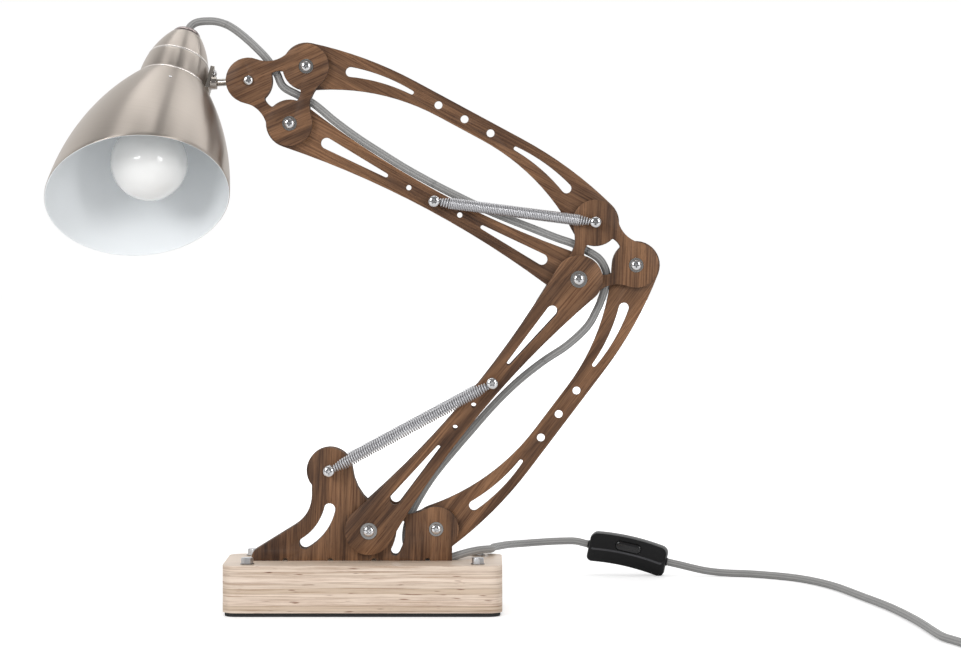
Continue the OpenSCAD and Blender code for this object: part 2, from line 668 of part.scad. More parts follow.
// The lamp's cord, from the cap over the head plates, along the upper link,
// round the elbow between the links and down into the foot. Its pieces meet
// face to face where it passes from one moving body to the next.
lamp_route = [[-136.8, 22.1, 438.7], [-135.9, 24.4, 442.7], [-133.9, 27.3, 446.9],
    [-129.7, 29.3, 449.9], [-123, 29.5, 451], [-114, 26.5, 450.5], [-105, 22, 447.5],
    [-96.5, 16, 442], [-88, 9, 435], [-80, 2.5, 427.5], [-73, 0, 420], [-66, 0, 409.5],
    [-61, 0, 399.5], [-49.6, 0, 393], [-37, 0, 385.8], [-22, 0, 373.4], [-4, 0, 360.2],
    [14, 0, 348.6], [32, 0, 337.4], [54, 0, 325.2], [73, 0, 315.6], [91, 0, 307],
    [109, 0, 299.4], [130, 0, 291.2], [147, 0, 284.5], [158.8, 0, 280.4], [169.9, 0, 274.8],
    [179.5, 0, 268.6], [184.4, 0, 260.2], [184.9, 0, 254.8], [184.57, 0, 249.8],
    [183.5, 0, 244.8], [181.4, 0, 238.2], [178.4, 0, 231], [170.5, 0, 217], [155, 0, 202.5],
    [137, 0, 190.5], [118, 0, 175.5], [99.5, 0, 157.5], [81, 0, 136.5], [63, 0, 115.5],
    [52, 0, 101.5], [43, 0, 87.5], [36, 0, 74], [32.5, 0, 62], [32.5, 0, 51], [37.5, 0, 42.5],
    [47, 0, 38.2], [55, 0, 37.9]];
lamp_steps = 3;
lamp_path = smooth(lamp_route, lamp_steps);
module lamp_cord(from, to) {
    color("lightgray") tube(lamp_path, lamp_steps * from, lamp_steps * to, cord_d, [0, 1, 0]);
}

// The inline switch rests on one lower corner, and the cord holds its other
// end up. switch_point() is a place on the cord's line through it.
switch_corner = 5;
switch_at = [209.3, 235.4];
switch_dir = -8;
switch_tilt = 12;
switch_rest = switch_len / 2 - switch_corner;
cord_in_z = 13;
cord_in_x = switch_len / 2 + 1.2;
function switch_point(x) =
    let (across = switch_rest + (x - switch_rest) * cos(switch_tilt) + cord_in_z * sin(switch_tilt))
    [switch_at.x + across * cos(switch_dir), switch_at.y + across * sin(switch_dir),
     cord_in_z * cos(switch_tilt) - (x - switch_rest) * sin(switch_tilt)];

// The mains cord: out of the foot's groove and over the block's back edge to
// the switch, then along the table
mains_run = [[55, 0, 37.9], [60, 0, 38.4], [64.5, 0, 39.6], [69.5, 0.9, 41], [75, 3.8, 41.5],
    [81, 9.5, 41.5], [86.5, 16, 41.5], [91.6, 23, 41.5], [95.9, 30.5, 41.5], [97.2, 39, 41.5],
    [97.8, 47, 41.2], [98.4, 68, 39.9], [99.5, 98, 37.6], [102, 130, 35], [106, 160, 32.5],
    [110, 185, 30.6], [114, 203, 29.1], [118.5, 217, 28], [125, 229, 27.2], [134.5, 238, 27],
    [146, 242.5, 27.3], [158, 242.6, 27.8], switch_point(-45), switch_point(-cord_in_x)];
mains_tail = [switch_point(cord_in_x), switch_point(45), [263.5, 227.8, 7.5],
    [275, 226.3, 5], [287, 224.6, 3.5], [300, 221, 3], [320, 213, 3], [351, 184, 3],
    [373, 134, 3], [388, 63, 3], [402, -11, 3], [411, -90, 3], [416, -169, 3], [422, -195, 3],
    [430, -222, 3], [434.6, -248, 3]];
plug_lead = [[478, -294.2, 3], [504, -294, 3], [526, -290, 3.6], [540, -280, 5.4],
    [547, -268, 6.8], [548, -259, 7]];
module mains_piece(pts) {
    path = smooth(pts, 2);
    tube(path, 0, len(path) - 1, cord_d, [0, 0, 1]);
}
module mains_cord() {
    color("lightgray") {
        mains_piece(mains_run);
        mains_piece(mains_tail);
        mains_piece(plug_lead);
    }
}
coil_at = [478, -251];
module cord_coil() {
    color("lightgray") translate([coil_at.x, coil_at.y, 0]) rotate_extrude($fn = 48)
        translate([coil_r - cord_d, 0]) square([2 * cord_d, 2 * cord_d]);
}

// Inline switch: a bowed two-part body standing on its long edge, with a cord
// nozzle at each end and a rocker in its front face
switch_bow = 2;
module at_switch() {
    translate([switch_at.x, switch_at.y, 0]) rotate([0, 0, switch_dir])
        translate([switch_rest, 0, 0]) rotate([0, switch_tilt, 0])
            translate([-switch_rest, 0, 0]) children();
}
function switch_outline() =
    let (w = switch_w / 2, r = switch_corner, l = switch_len / 2,
         m = (l * l + switch_bow * switch_bow) / (2 * switch_bow),
         g = asin((l - r) / m), o = [0, r - (m - w + r) * cos(g)],
         high = m + w - r, low = m - w + r)
    concat(arc(o + pol(high, 90 - g), r, -g, 90 - g, 5),
           inner(arc(o, m + w, 90 - g, 90 + g, 6)),
           arc(o + pol(high, 90 + g), r, 90 + g, 180 + g, 5),
           arc(o + pol(low, 90 + g), r, 180 + g, 270 + g, 5),
           inner(arc(o, m - w, 90 + g, 90 - g, 6)),
           arc(o + pol(low, 90 - g), r, 270 - g, 360 - g, 5));
module nozzles(d) {
    for (s = [0, 180]) rotate([0, 0, s]) translate([switch_len / 2 - 4, 0, cord_in_z])
        rotate([0, 90, 0]) cylinder(d = d, h = 9);
}
module cord_entries() {
    for (s = [0, 180]) rotate([0, 0, s]) translate([switch_len / 2 + 1, 0, cord_in_z])
        rotate([0, 90, 0]) cylinder(d = cord_d + 0.8, h = 9);
}
module switch_base() {
    color([0.1, 0.1, 0.1]) at_switch() difference() {
        union() {
            slab(0.05, switch_t / 2) polygon(switch_outline());
            nozzles(10);
        }
        cord_entries();
    }
}
rocker_z = 18.5;
rocker_half = 7;
rocker_r = 3.8;
module switch_cover() {
    color([0.12, 0.12, 0.12]) at_switch() difference() {
        slab(-switch_t / 2, switch_t / 2) polygon(switch_outline());
        slab(-switch_t / 2 - 1, 7) polygon(slot([-rocker_half - 0.4, rocker_z], rocker_r + 0.4,
                                                [rocker_half + 0.4, rocker_z], rocker_r + 0.4, 0.5));
        nozzles(10.1);
    }
}
module switch_rocker() {
    color([0.05, 0.05, 0.05]) at_switch() slab(-switch_t / 2 - 1.2, 4.3)
        polygon(slot([-rocker_half, rocker_z], rocker_r, [rocker_half, rocker_z], rocker_r, 0.5));
}

plug_at = [548, -245];
module plug_body() {
    color([0.9, 0.9, 0.9]) translate([plug_at.x, plug_at.y, 0]) linear_extrude(14)
        polygon([[-7, -14], [7, -14], [11, -8], [11, 20], [-11, 20], [-11, -8]]);
}
module plug_pins() {
    color("silver") for (s = [-1, 1]) translate([plug_at.x + s * 9.5, plug_at.y + 20, 7])
        rotate([-90, 0, 0]) cylinder(d = 4, h = 19);
}

base_block();
base_pad();
ballast_plate();
base_bolt(-1, -1);  // bolt_front_left
base_bolt(1, -1);  // bolt_front_right
base_bolt(-1, 1);  // bolt_back_left
base_bolt(1, 1);  // bolt_back_right
foot_plate(-plate_out);  // foot_plate_front
foot_plate(plate_in);  // foot_plate_back
foot_keel();
foot_bolt_a();
foot_bolt_b();
foot_spacers();
foot_post_pin();
lower_link(-outer_out);  // lower_link_front
lower_link(outer_in);  // lower_link_back
lower_spring_pin();
elbow_plate(-plate_out);  // elbow_plate_front
elbow_plate(plate_in);  // elbow_plate_back
elbow_bolt_p();
elbow_bolt_q();
elbow_bolt_u();
elbow_washers();
lower_bowed_link();
upper_link();
upper_spring_pin();
upper_bowed_link();
head_plate(-plate_out);  // head_plate_front
head_plate(plate_in);  // head_plate_back
head_bolt(piv_h1);  // head_bolt_lower
head_bolt(piv_h2);  // head_bolt_upper
head_bolt_tilt();
head_washers();
lamp_stem();
shade_knuckle();
knuckle_screw();
shade_body();
shade_cap();
cap_ferrule();
lamp_holder();
bulb_glass();
bulb_base();
lower_spring(-1);  // lower_spring_front
lower_spring(1);  // lower_spring_back
upper_spring(-1);  // upper_spring_front
upper_spring(1);  // upper_spring_back
lamp_cord(0, 6);  // cord_cap_loop
lamp_cord(6, 11);  // cord_stem_loop
lamp_cord(11, 24);  // cord_upper
lamp_cord(24, 31);  // cord_elbow
lamp_cord(31, 42);  // cord_lower
lamp_cord(42, 48);  // cord_foot
mains_cord();
cord_coil();
switch_base();
switch_cover();
switch_rocker();
plug_body();
plug_pins();
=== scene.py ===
"""Two-arm parallel-link desk lamp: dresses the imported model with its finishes.

Every length is in metres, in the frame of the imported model: +X to the right,
+Y away from the front, +Z up, origin under the middle of the base.
"""
import json
import math

import bmesh
import bpy
import numpy as np
from mathutils import Matrix, Vector


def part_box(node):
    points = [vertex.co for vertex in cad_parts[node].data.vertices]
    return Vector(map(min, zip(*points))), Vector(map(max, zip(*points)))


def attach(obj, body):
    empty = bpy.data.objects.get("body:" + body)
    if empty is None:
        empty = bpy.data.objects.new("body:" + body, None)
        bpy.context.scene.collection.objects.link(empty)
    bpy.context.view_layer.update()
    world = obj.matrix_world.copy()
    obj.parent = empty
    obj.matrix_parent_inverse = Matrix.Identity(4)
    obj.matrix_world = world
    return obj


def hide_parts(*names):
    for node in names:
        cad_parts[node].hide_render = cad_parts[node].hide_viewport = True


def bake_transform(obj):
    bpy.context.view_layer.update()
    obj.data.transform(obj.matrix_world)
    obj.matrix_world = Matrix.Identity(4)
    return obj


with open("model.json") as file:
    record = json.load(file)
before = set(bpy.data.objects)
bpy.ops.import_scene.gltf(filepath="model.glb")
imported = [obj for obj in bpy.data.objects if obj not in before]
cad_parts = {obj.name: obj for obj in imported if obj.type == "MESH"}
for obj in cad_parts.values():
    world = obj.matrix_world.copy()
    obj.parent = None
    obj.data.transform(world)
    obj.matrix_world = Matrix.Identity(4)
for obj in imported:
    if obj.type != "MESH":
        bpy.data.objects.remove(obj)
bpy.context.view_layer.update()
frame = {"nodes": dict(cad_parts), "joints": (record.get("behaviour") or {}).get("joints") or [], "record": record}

bl_info = {
    "name": "Linked Desk Lamp",
    "version": (1, 0, 0),
    "blender": (4, 5, 0),
    "location": "View3D > Sidebar > Desk Lamp",
    "description": "Finishes a spring-balanced desk lamp in walnut, birch and metal",
    "category": "Add Mesh",
}

MM = 0.001

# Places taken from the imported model
AXES = {joint["name"]: Vector(joint["pos_m"]) for joint in frame["joints"]}
BODY_OF = {node: body for body, nodes in frame["record"]["behaviour"]["bodies"].items()
           for node in nodes}


def middle(node):
    """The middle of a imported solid's box."""
    low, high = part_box(node)
    return (Vector(low) + Vector(high)) / 2


def level(node):
    """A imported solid's middle in the arms' plane, with y set to nothing."""
    place = middle(node)
    return Vector((place.x, 0, place.z))


FOOT_A = AXES["lower_arm"]
FOOT_B = level("foot_bolt_b")
POST = level("foot_post_pin")
ELBOW_P = AXES["elbow"]
ELBOW_Q = AXES["lower_bow"]
ELBOW_U = AXES["upper_bow"]
HEAD_1 = AXES["head"]
HEAD_2 = level("head_bolt_upper")
HEAD_3 = AXES["head_tilt"]
NECK = AXES["shade_swivel"]
LOWER_PIN = level("lower_spring_pin")
UPPER_PIN = level("upper_spring_pin")
PLATE_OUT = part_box("foot_plate_back")[1][1]
OUTER_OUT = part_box("lower_link_back")[1][1]
LINK_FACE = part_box("upper_link")[1][1]


def heading(start, end):
    """Angle of the line from start to end in the arms' plane, in radians."""
    return math.atan2(end.z - start.z, end.x - start.x)


# ---------------------------------------------------------------- sizes and colours

class LampSizes(bpy.types.PropertyGroup):
    """Sizes that the finished pieces share."""
    cord_diameter: bpy.props.FloatProperty(
        name="Cord diameter", description="Thickness of the textile cord",
        default=0.006, min=0.003, max=0.01, unit="LENGTH")
    spring_diameter: bpy.props.FloatProperty(
        name="Spring diameter", description="Outer diameter of the springs",
        default=0.0088, min=0.005, max=0.012, unit="LENGTH")
    spring_wire: bpy.props.FloatProperty(
        name="Spring wire", description="Diameter of the springs' wire",
        default=0.0013, min=0.0008, max=0.002, unit="LENGTH")
    lower_coils: bpy.props.IntProperty(
        name="Lower spring turns", description="Turns of each lower spring",
        default=62, min=20, max=120)
    upper_coils: bpy.props.IntProperty(
        name="Upper spring turns", description="Turns of each upper spring",
        default=74, min=20, max=120)
    wood_edge: bpy.props.FloatProperty(
        name="Wood edge", description="Rounding of the cut wooden edges",
        default=0.0002, min=0.0, max=0.001, unit="LENGTH")


class LampColours(bpy.types.PropertyGroup):
    """Colours that the finishes share."""
    walnut_dark: bpy.props.FloatVectorProperty(
        name="Dark walnut", description="Darkest streaks of the walnut",
        default=(0.045, 0.018, 0.008), min=0, max=1, subtype="COLOR")
    walnut_light: bpy.props.FloatVectorProperty(
        name="Light walnut", description="Lightest streaks of the walnut",
        default=(0.28, 0.142, 0.068), min=0, max=1, subtype="COLOR")
    birch: bpy.props.FloatVectorProperty(
        name="Birch", description="The block's light plies",
        default=(0.67, 0.55, 0.445), min=0, max=1, subtype="COLOR")
    nickel: bpy.props.FloatVectorProperty(
        name="Nickel", description="Brushed metal of the shade",
        default=(0.52, 0.465, 0.415), min=0, max=1, subtype="COLOR")
    cord: bpy.props.FloatVectorProperty(
        name="Cord", description="Yarn of the textile cord",
        default=(0.40, 0.395, 0.385), min=0, max=1, subtype="COLOR")
    black: bpy.props.FloatVectorProperty(
        name="Black", description="Plastic of the switch",
        default=(0.006, 0.006, 0.0065), min=0, max=1, subtype="COLOR")


def sizes():
    return bpy.context.scene.lamp_sizes


def colours():
    return bpy.context.scene.lamp_colours


# ---------------------------------------------------------------- node writing

def put(socket, value):
    """Links a socket to another, or sets its value."""
    if isinstance(value, bpy.types.NodeSocket):
        socket.id_data.links.new(value, socket)
    elif socket.type == "RGBA" and len(value) == 3:
        socket.default_value = (*value, 1.0)
    else:
        socket.default_value = value


def add(tree, kind, inputs=None, **settings):
    """Adds a node, sets its settings and fills its inputs by name or number."""
    made = tree.nodes.new(kind)
    for key, value in settings.items():
        setattr(made, key, value)
    for key, value in (inputs or {}).items():
        put(made.inputs[key], value)
    return made


def calc(tree, operation, *values):
    inputs = {i: v for i, v in enumerate(values)}
    return add(tree, "ShaderNodeMath", inputs, operation=operation).outputs[0]


def noise(tree, vector, scale, detail=2, roughness=0.5):
    """Noise over a vector, with a scale for each axis or one for all."""
    scales = scale if hasattr(scale, "__len__") else (scale,) * 3
    scaled = add(tree, "ShaderNodeMapping", {"Vector": vector, "Scale": scales}).outputs[0]
    return add(tree, "ShaderNodeTexNoise", {
        "Vector": scaled, "Scale": 1.0, "Detail": detail, "Roughness": roughness,
    }).outputs["Fac"]


def ramp(tree, value, stops):
    """A colour for a value: stops are (place, colour) pairs, and a number is a grey."""
    made = add(tree, "ShaderNodeValToRGB", {"Fac": value})
    elements = made.color_ramp.elements
    while len(elements) < len(stops):
        elements.new(0.5)
    for element, (place, colour) in zip(elements, stops):
        element.position = place
        element.color = (*colour, 1.0) if hasattr(colour, "__len__") else (colour,) * 3 + (1.0,)
    return made.outputs["Color"]


def mixed(tree, share, first, second, blend_type="MIX"):
    made = tree.nodes.new("ShaderNodeMix")
    made.data_type = "RGBA"
    made.blend_type = blend_type
    put(made.inputs["Factor"], share)
    put(made.inputs[6], first)
    put(made.inputs[7], second)
    return made.outputs[2]


def times(tree, first, second):
    return mixed(tree, 1.0, first, second, "MULTIPLY")


def toned(colour, *shares):
    """A colour times one share, or times a share for each channel."""
    return tuple(min(1, c * k) for c, k in zip(colour, shares if len(shares) == 3 else shares * 3))


def bumped(tree, height, distance, strength=0.6):
    return add(tree, "ShaderNodeBump", {
        "Height": height, "Distance": distance, "Strength": strength}).outputs["Normal"]


def grain(tree, scale, detail=2, roughness=0.5, turn=(0, 0, 0), shift=(0, 0, 0)):
    """Noise over the piece, turned so that its length lies along X before it is scaled."""
    laid = add(tree, "ShaderNodeMapping", {
        "Vector": add(tree, "ShaderNodeTexCoord").outputs["Object"],
        "Rotation": turn, "Location": shift}).outputs[0]
    return noise(tree, laid, scale, detail, roughness)


def own_axis(tree, axis):
    """The X, Y or Z of a place on the piece."""
    place = add(tree, "ShaderNodeTexCoord").outputs["Object"]
    return add(tree, "ShaderNodeSeparateXYZ", {"Vector": place}).outputs[axis]


def material(name, paint):
    """A node material: paint(tree, surface) fills it in."""
    ready = bpy.data.materials.get(name)
    if ready:
        return ready
    made = bpy.data.materials.new(name)
    made.use_nodes = True
    tree = made.node_tree
    tree.nodes.clear()
    surface = tree.nodes.new("ShaderNodeBsdfPrincipled")
    end = tree.nodes.new("ShaderNodeOutputMaterial")
    tree.links.new(surface.outputs[0], end.inputs["Surface"])
    paint(tree, surface)
    return made


def fill(surface, **inputs):
    """Fills a surface's inputs, named with underlines for blanks."""
    for key, value in inputs.items():
        put(surface.inputs[key.replace("_", " ")], value)


# ---------------------------------------------------------------- finishes

def walnut(angle, shift=0.0):
    """Walnut veneer with its grain at an angle in the arms' plane."""
    def paint(tree, surface):
        turn = (0, angle, 0)
        broad = grain(tree, (7, 1, 95), 3, 0.55, turn, (shift, 0, shift))
        lines = grain(tree, (18, 1, 840), 5, 0.65, turn, (shift, 0, 0))
        pores = grain(tree, (90, 1, 2300), turn=turn)
        light, dark = colours().walnut_light[:], colours().walnut_dark[:]
        middle_tone = tuple((a + b) / 2 for a, b in zip(light, dark))
        base = ramp(tree, broad, [(0.30, dark), (0.48, middle_tone), (0.66, light)])
        veined = mixed(tree, ramp(tree, lines, [(0.38, 0), (0.56, 1)]),
                       times(tree, base, (0.46, 0.39, 0.35)), base)
        dots = ramp(tree, pores, [(0.30, (0.35, 0.3, 0.28)), (0.40, 1)])
        fill(surface, Base_Color=times(tree, veined, dots),
             Roughness=calc(tree, "MULTIPLY_ADD", lines, 0.16, 0.40),
             Normal=bumped(tree, lines, 0.00006, 0.5))
        fill(surface, Specular_IOR_Level=0.3, Coat_Weight=0.06, Coat_Roughness=0.28)
    return material(f"walnut_veneer_{round(math.degrees(angle))}_{round(shift * 100)}", paint)


LAYER_STEP = 5.5 * MM


def cut_edge():
    """The laser-cut edge of the thin walnut plywood: a light core between dark faces."""
    def paint(tree, surface):
        depth = calc(tree, "ADD", own_axis(tree, "Y"), LINK_FACE + 5 * LAYER_STEP)
        through = calc(tree, "DIVIDE", calc(tree, "FLOORED_MODULO", depth, LAYER_STEP),
                       2 * LINK_FACE)
        face, glue, middle_ply = (0.045, 0.020, 0.011), (0.035, 0.016, 0.009), (0.05, 0.024, 0.013)
        outer_core, inner_core = (0.20, 0.115, 0.065), (0.17, 0.095, 0.052)
        plies = ramp(tree, through, [
            (0.0, face), (0.13, glue), (0.20, outer_core), (0.38, inner_core),
            (0.46, middle_ply), (0.55, middle_ply), (0.62, inner_core), (0.80, outer_core),
            (0.87, glue), (1.0, face)])
        soot = grain(tree, (420, 60, 420), 3)
        burnt = ramp(tree, soot, [(0.3, (0.5, 0.45, 0.42)), (0.65, 1)])
        fill(surface, Base_Color=times(tree, plies, burnt), Roughness=0.62,
             Normal=bumped(tree, soot, 0.00005, 0.4))
    return material("laser_cut_edge", paint)


PLY_STEP = 4.3 * MM
PLY_WAVE = 2.2 * MM


def birch_edge():
    """The block's sides: uneven plies, each of its own tone, between broken glue lines."""
    def paint(tree, surface):
        waver = calc(tree, "SUBTRACT", grain(tree, (9, 9, 60)), 0.5)
        height = calc(tree, "MULTIPLY_ADD", waver, PLY_WAVE, own_axis(tree, "Z"))
        plies = calc(tree, "DIVIDE", height, PLY_STEP)
        within = calc(tree, "FLOORED_MODULO", plies, 1.0)
        own = add(tree, "ShaderNodeTexWhiteNoise", {"W": calc(tree, "FLOOR", plies)},
                  noise_dimensions="1D").outputs["Value"]
        birch = colours().birch[:]
        bands = ramp(tree, own, [(0.1, toned(birch, 0.90, 0.86, 0.81)), (0.45, birch),
                                 (0.9, toned(birch, 1.16, 1.17, 1.20))])
        line = ramp(tree, within, [(0.0, 1), (0.07, 0), (0.95, 0), (1.0, 1)])
        broken = ramp(tree, grain(tree, (26, 26, 90), 3), [(0.42, 0.12), (0.58, 0.95)])
        glued = mixed(tree, calc(tree, "MULTIPLY", line, broken), bands,
                      toned(birch, 0.42, 0.28, 0.22))
        fibres = grain(tree, (14, 14, 900), 5, 0.75)
        streaks = ramp(tree, fibres, [(0.36, (0.62, 0.52, 0.45)), (0.52, 1),
                                      (0.66, (1.10, 1.11, 1.12))])
        holes = ramp(tree, grain(tree, (48, 48, 560)), [(0.28, (0.36, 0.22, 0.16)), (0.35, 1)])
        fill(surface, Base_Color=times(tree, times(tree, glued, streaks), holes),
             Roughness=0.55, Normal=bumped(tree, fibres, 0.00008, 0.5))
    return material("birch_ply_edge", paint)


def birch_face():
    """The block's top: one light veneer with its grain along the block."""
    def paint(tree, surface):
        broad = grain(tree, (5, 60, 1), 3)
        lines = grain(tree, (18, 700, 1), 4, 0.6)
        birch = colours().birch[:]
        veneer = ramp(tree, broad, [(0.3, toned(birch, 1.06)), (0.7, toned(birch, 1.28))])
        streaks = ramp(tree, lines, [(0.3, (0.90, 0.87, 0.84)), (0.7, 1)])
        fill(surface, Base_Color=times(tree, veneer, streaks), Roughness=0.42,
             Normal=bumped(tree, lines, 0.00005, 0.5))
        fill(surface, Coat_Weight=0.12, Coat_Roughness=0.3)
    return material("birch_face", paint)


def metal(name, colour, roughness, wear=0.06):
    """A metal with fine scratches that change its gloss by the wear."""
    def paint(tree, surface):
        marks = grain(tree, 900, 3)
        cloud = ramp(tree, grain(tree, 55), [(0.3, 0), (0.7, 1)])
        fill(surface, Base_Color=mixed(tree, cloud, toned(colour, 0.93), colour),
             Roughness=calc(tree, "MULTIPLY_ADD", marks, wear, roughness - wear / 2),
             Normal=bumped(tree, marks, 0.00001, 0.25))
        fill(surface, Metallic=1.0)
    return material(name, paint)


def chrome():
    return metal("chrome", (0.78, 0.78, 0.79), 0.10)


def zinc():
    return metal("zinc_plate", (0.60, 0.60, 0.61), 0.36)


def washer_steel():
    return metal("washer_steel", (0.40, 0.39, 0.38), 0.24, wear=0.12)


def spring_steel():
    return metal("spring_steel", (0.34, 0.31, 0.28), 0.20, wear=0.10)


# Buffed nickel, also painted lighter than the brushed nickel as a highlight on the cap's lip and seam bead
def polish_and_highlight_nickel():
    return metal("polish_and_highlight_nickel", (0.76, 0.72, 0.68), 0.20)


def brushed_nickel():
    """The shade's outside: circular brushing that draws every light out along the shade."""
    def paint(tree, surface):
        around = add(tree, "ShaderNodeUVMap", uv_map="UVMap").outputs["UV"]
        fine = noise(tree, around, (4, 900, 1), 4, 0.6)
        nickel = colours().nickel[:]
        fill(surface,
             Base_Color=mixed(tree, fine, toned(nickel, 0.90), toned(nickel, 1.06)),
             Roughness=calc(tree, "ADD", calc(tree, "MULTIPLY_ADD", fine, 0.08, 0.27),
                            calc(tree, "MULTIPLY", grain(tree, 22), 0.06)),
             Normal=bumped(tree, fine, 0.00001, 0.35),
             Tangent=add(tree, "ShaderNodeTangent", direction_type="UV_MAP",
                         uv_map="UVMap").outputs[0])
        fill(surface, Metallic=1.0, Anisotropic=0.9, Anisotropic_Rotation=0.25)
    return material("brushed_nickel", paint)


def enamel(name="white_enamel", colour=(0.87, 0.90, 0.92)):
    """Smooth white lacquer with a faint orange-peel skin."""
    def paint(tree, surface):
        haze = grain(tree, 30)
        fill(surface, Base_Color=mixed(tree, haze, toned(colour, 0.97), colour),
             Roughness=calc(tree, "MULTIPLY_ADD", haze, 0.06, 0.34),
             Normal=bumped(tree, grain(tree, 700), 0.00001, 0.3))
    return material(name, paint)


def opal_glass():
    """White opal glass of the globe."""
    def paint(tree, surface):
        haze = grain(tree, 45)
        fill(surface,
             Base_Color=mixed(tree, haze, (0.84, 0.84, 0.83), (0.90, 0.90, 0.89)),
             Roughness=calc(tree, "MULTIPLY_ADD", haze, 0.04, 0.10))
        fill(surface, Subsurface_Weight=0.25, Subsurface_Scale=0.006,
             Coat_Weight=0.3, Coat_Roughness=0.05)
        surface.inputs["Subsurface Radius"].default_value = (1.0, 1.0, 1.0)
    return material("opal_glass", paint)


def plastic(name, colour, roughness, depth=0.00002, shine=0.5):
    """Moulded plastic with a fine spark-eroded grain of some depth in metres."""
    def paint(tree, surface):
        soft = grain(tree, 60)
        fill(surface,
             Base_Color=mixed(tree, soft, toned(colour, 0.85), toned(colour, 1.1)),
             Roughness=calc(tree, "MULTIPLY_ADD", soft, 0.08, roughness),
             Normal=bumped(tree, grain(tree, 1800), depth, 0.4))
        fill(surface, Specular_IOR_Level=shine)
    return material(name, paint)


def plug_white():
    return plastic("plug_white", (0.72, 0.72, 0.71), 0.38)


def braid():
    """Textile braid: yarns that cross over lengthwise ribs, drawn on the cord's UV map."""
    def paint(tree, surface):
        uv = add(tree, "ShaderNodeUVMap", uv_map="UVMap").outputs["UV"]
        parts = add(tree, "ShaderNodeSeparateXYZ", {"Vector": uv})
        turns, pitch, rib_count = 12.0, 5.0, 9
        around = calc(tree, "MULTIPLY", parts.outputs["Y"], turns)
        along = calc(tree, "MULTIPLY", parts.outputs["X"], pitch)
        left, right = (
            calc(tree, "SINE", calc(tree, "MULTIPLY", calc(tree, way, around, along), math.tau))
            for way in ("ADD", "SUBTRACT"))
        over = calc(tree, "MULTIPLY_ADD", calc(tree, "MULTIPLY", left, right), 0.5, 0.5)
        yarn = colours().cord[:]
        fuzz = noise(tree, uv, (60, 90, 1), 3)
        # Painted shade where the yarns dip under and a painted highlight where they cross over, on the same
        # pattern as the bump
        shade = ramp(tree, over, [(0.15, toned(yarn, 0.62)), (0.6, yarn),
                                  (0.95, toned(yarn, 1.22))])
        wave = calc(tree, "SINE", calc(tree, "MULTIPLY", parts.outputs["Y"],
                                       rib_count * math.tau))
        ribs = ramp(tree, calc(tree, "MULTIPLY_ADD", wave, 0.5, 0.5), [
            (0.1, (0.66, 0.66, 0.67)), (0.55, 1)])
        wear_and_painted_highlight = ramp(tree, fuzz, [(0.25, 0.82), (0.75, 1)])
        fill(surface, Base_Color=times(tree, times(tree, shade, ribs), wear_and_painted_highlight),
             Roughness=calc(tree, "MULTIPLY_ADD", fuzz, 0.12, 0.72),
             Normal=bumped(tree, over, 0.00022, 0.7))
        fill(surface, Sheen_Weight=0.25, Sheen_Roughness=0.5)
    return material("textile_braid", paint)


# ---------------------------------------------------------------- mesh helpers

def link(name, data):
    """A new object in the scene with its mesh, camera or lamp."""
    made = bpy.data.objects.new(name, data)
    bpy.context.scene.collection.objects.link(made)
    return made


def build(name, points, faces, finishes, which=None, uvs=None, smooth=True):
    """An object from points and faces, with a finish index and UVs for each face."""
    mesh = bpy.data.meshes.new(name)
    mesh.from_pydata([tuple(p) for p in points], [], faces)
    for finish in finishes:
        mesh.materials.append(finish)
    if which is not None:
        mesh.polygons.foreach_set("material_index", which)
    if uvs is not None:
        layer = mesh.uv_layers.new(name="UVMap")
        layer.data.foreach_set("uv", [c for face in uvs for uv in face for c in uv])
    mesh.polygons.foreach_set("use_smooth", [smooth] * len(mesh.polygons))
    mesh.update()
    return link(name, mesh)


def settled(name, work, finishes):
    """An object from a working mesh, with its finishes."""
    mesh = bpy.data.meshes.new(name)
    work.to_mesh(mesh)
    work.free()
    for finish in finishes:
        mesh.materials.append(finish)
    return link(name, mesh)


def quads(rows, sides, closed=False):
    """The faces between rings of points, and from the last ring to the first if closed."""
    faces = []
    for i in range(rows if closed else rows - 1):
        low, high = i * sides, (i + 1) % rows * sides
        for k in range(sides):
            n = (k + 1) % sides
            faces.append([low + k, low + n, high + n, high + k])
    return faces


def lathe(name, profile, finishes, sides, which=None, move=None, seam=0.0):
    """Revolves (radius, height) pairs about Z. A radius of 0 closes a pole."""
    points, rings = [], []
    for radius, height in profile:
        if radius == 0:
            rings.append([len(points)] * sides)
            points.append((0, 0, height))
        else:
            rings.append(list(range(len(points), len(points) + sides)))
            points += [(radius * math.cos(seam + math.tau * k / sides),
                        radius * math.sin(seam + math.tau * k / sides), height)
                       for k in range(sides)]
    run = [0.0]
    for (r0, z0), (r1, z1) in zip(profile, profile[1:]):
        run.append(run[-1] + math.hypot(r1 - r0, z1 - z0))
    faces, marks, uvs = [], [], []
    for i in range(len(profile) - 1):
        low, high = rings[i], rings[i + 1]
        for k in range(sides):
            n = (k + 1) % sides
            ring = [low[k], low[n], high[n], high[k]]
            uv = [(k / sides, run[i]), ((k + 1) / sides, run[i]),
                  ((k + 1) / sides, run[i + 1]), (k / sides, run[i + 1])]
            kept = [j for j in range(4) if ring[j] != ring[j - 1]]
            if len(kept) < 3:
                continue
            faces.append([ring[j] for j in kept])
            uvs.append([uv[j] for j in kept])
            marks.append(which[i] if which else 0)
    made = build(name, points, faces, finishes, marks, uvs)
    if move is not None:
        made.data.transform(move)
    return outward(made)


def outward(made):
    """Turns a closed shape's faces outward."""
    work = bmesh.new()
    work.from_mesh(made.data)
    bmesh.ops.recalc_face_normals(work, faces=work.faces)
    work.to_mesh(made.data)
    work.free()
    made.data.update()
    return made


def crisp(made, degrees=32):
    """Smooth shading that stays sharp at clear edges."""
    made.data.polygons.foreach_set("use_smooth", [True] * len(made.data.polygons))
    made.data.set_sharp_from_angle(angle=math.radians(degrees))
    return made


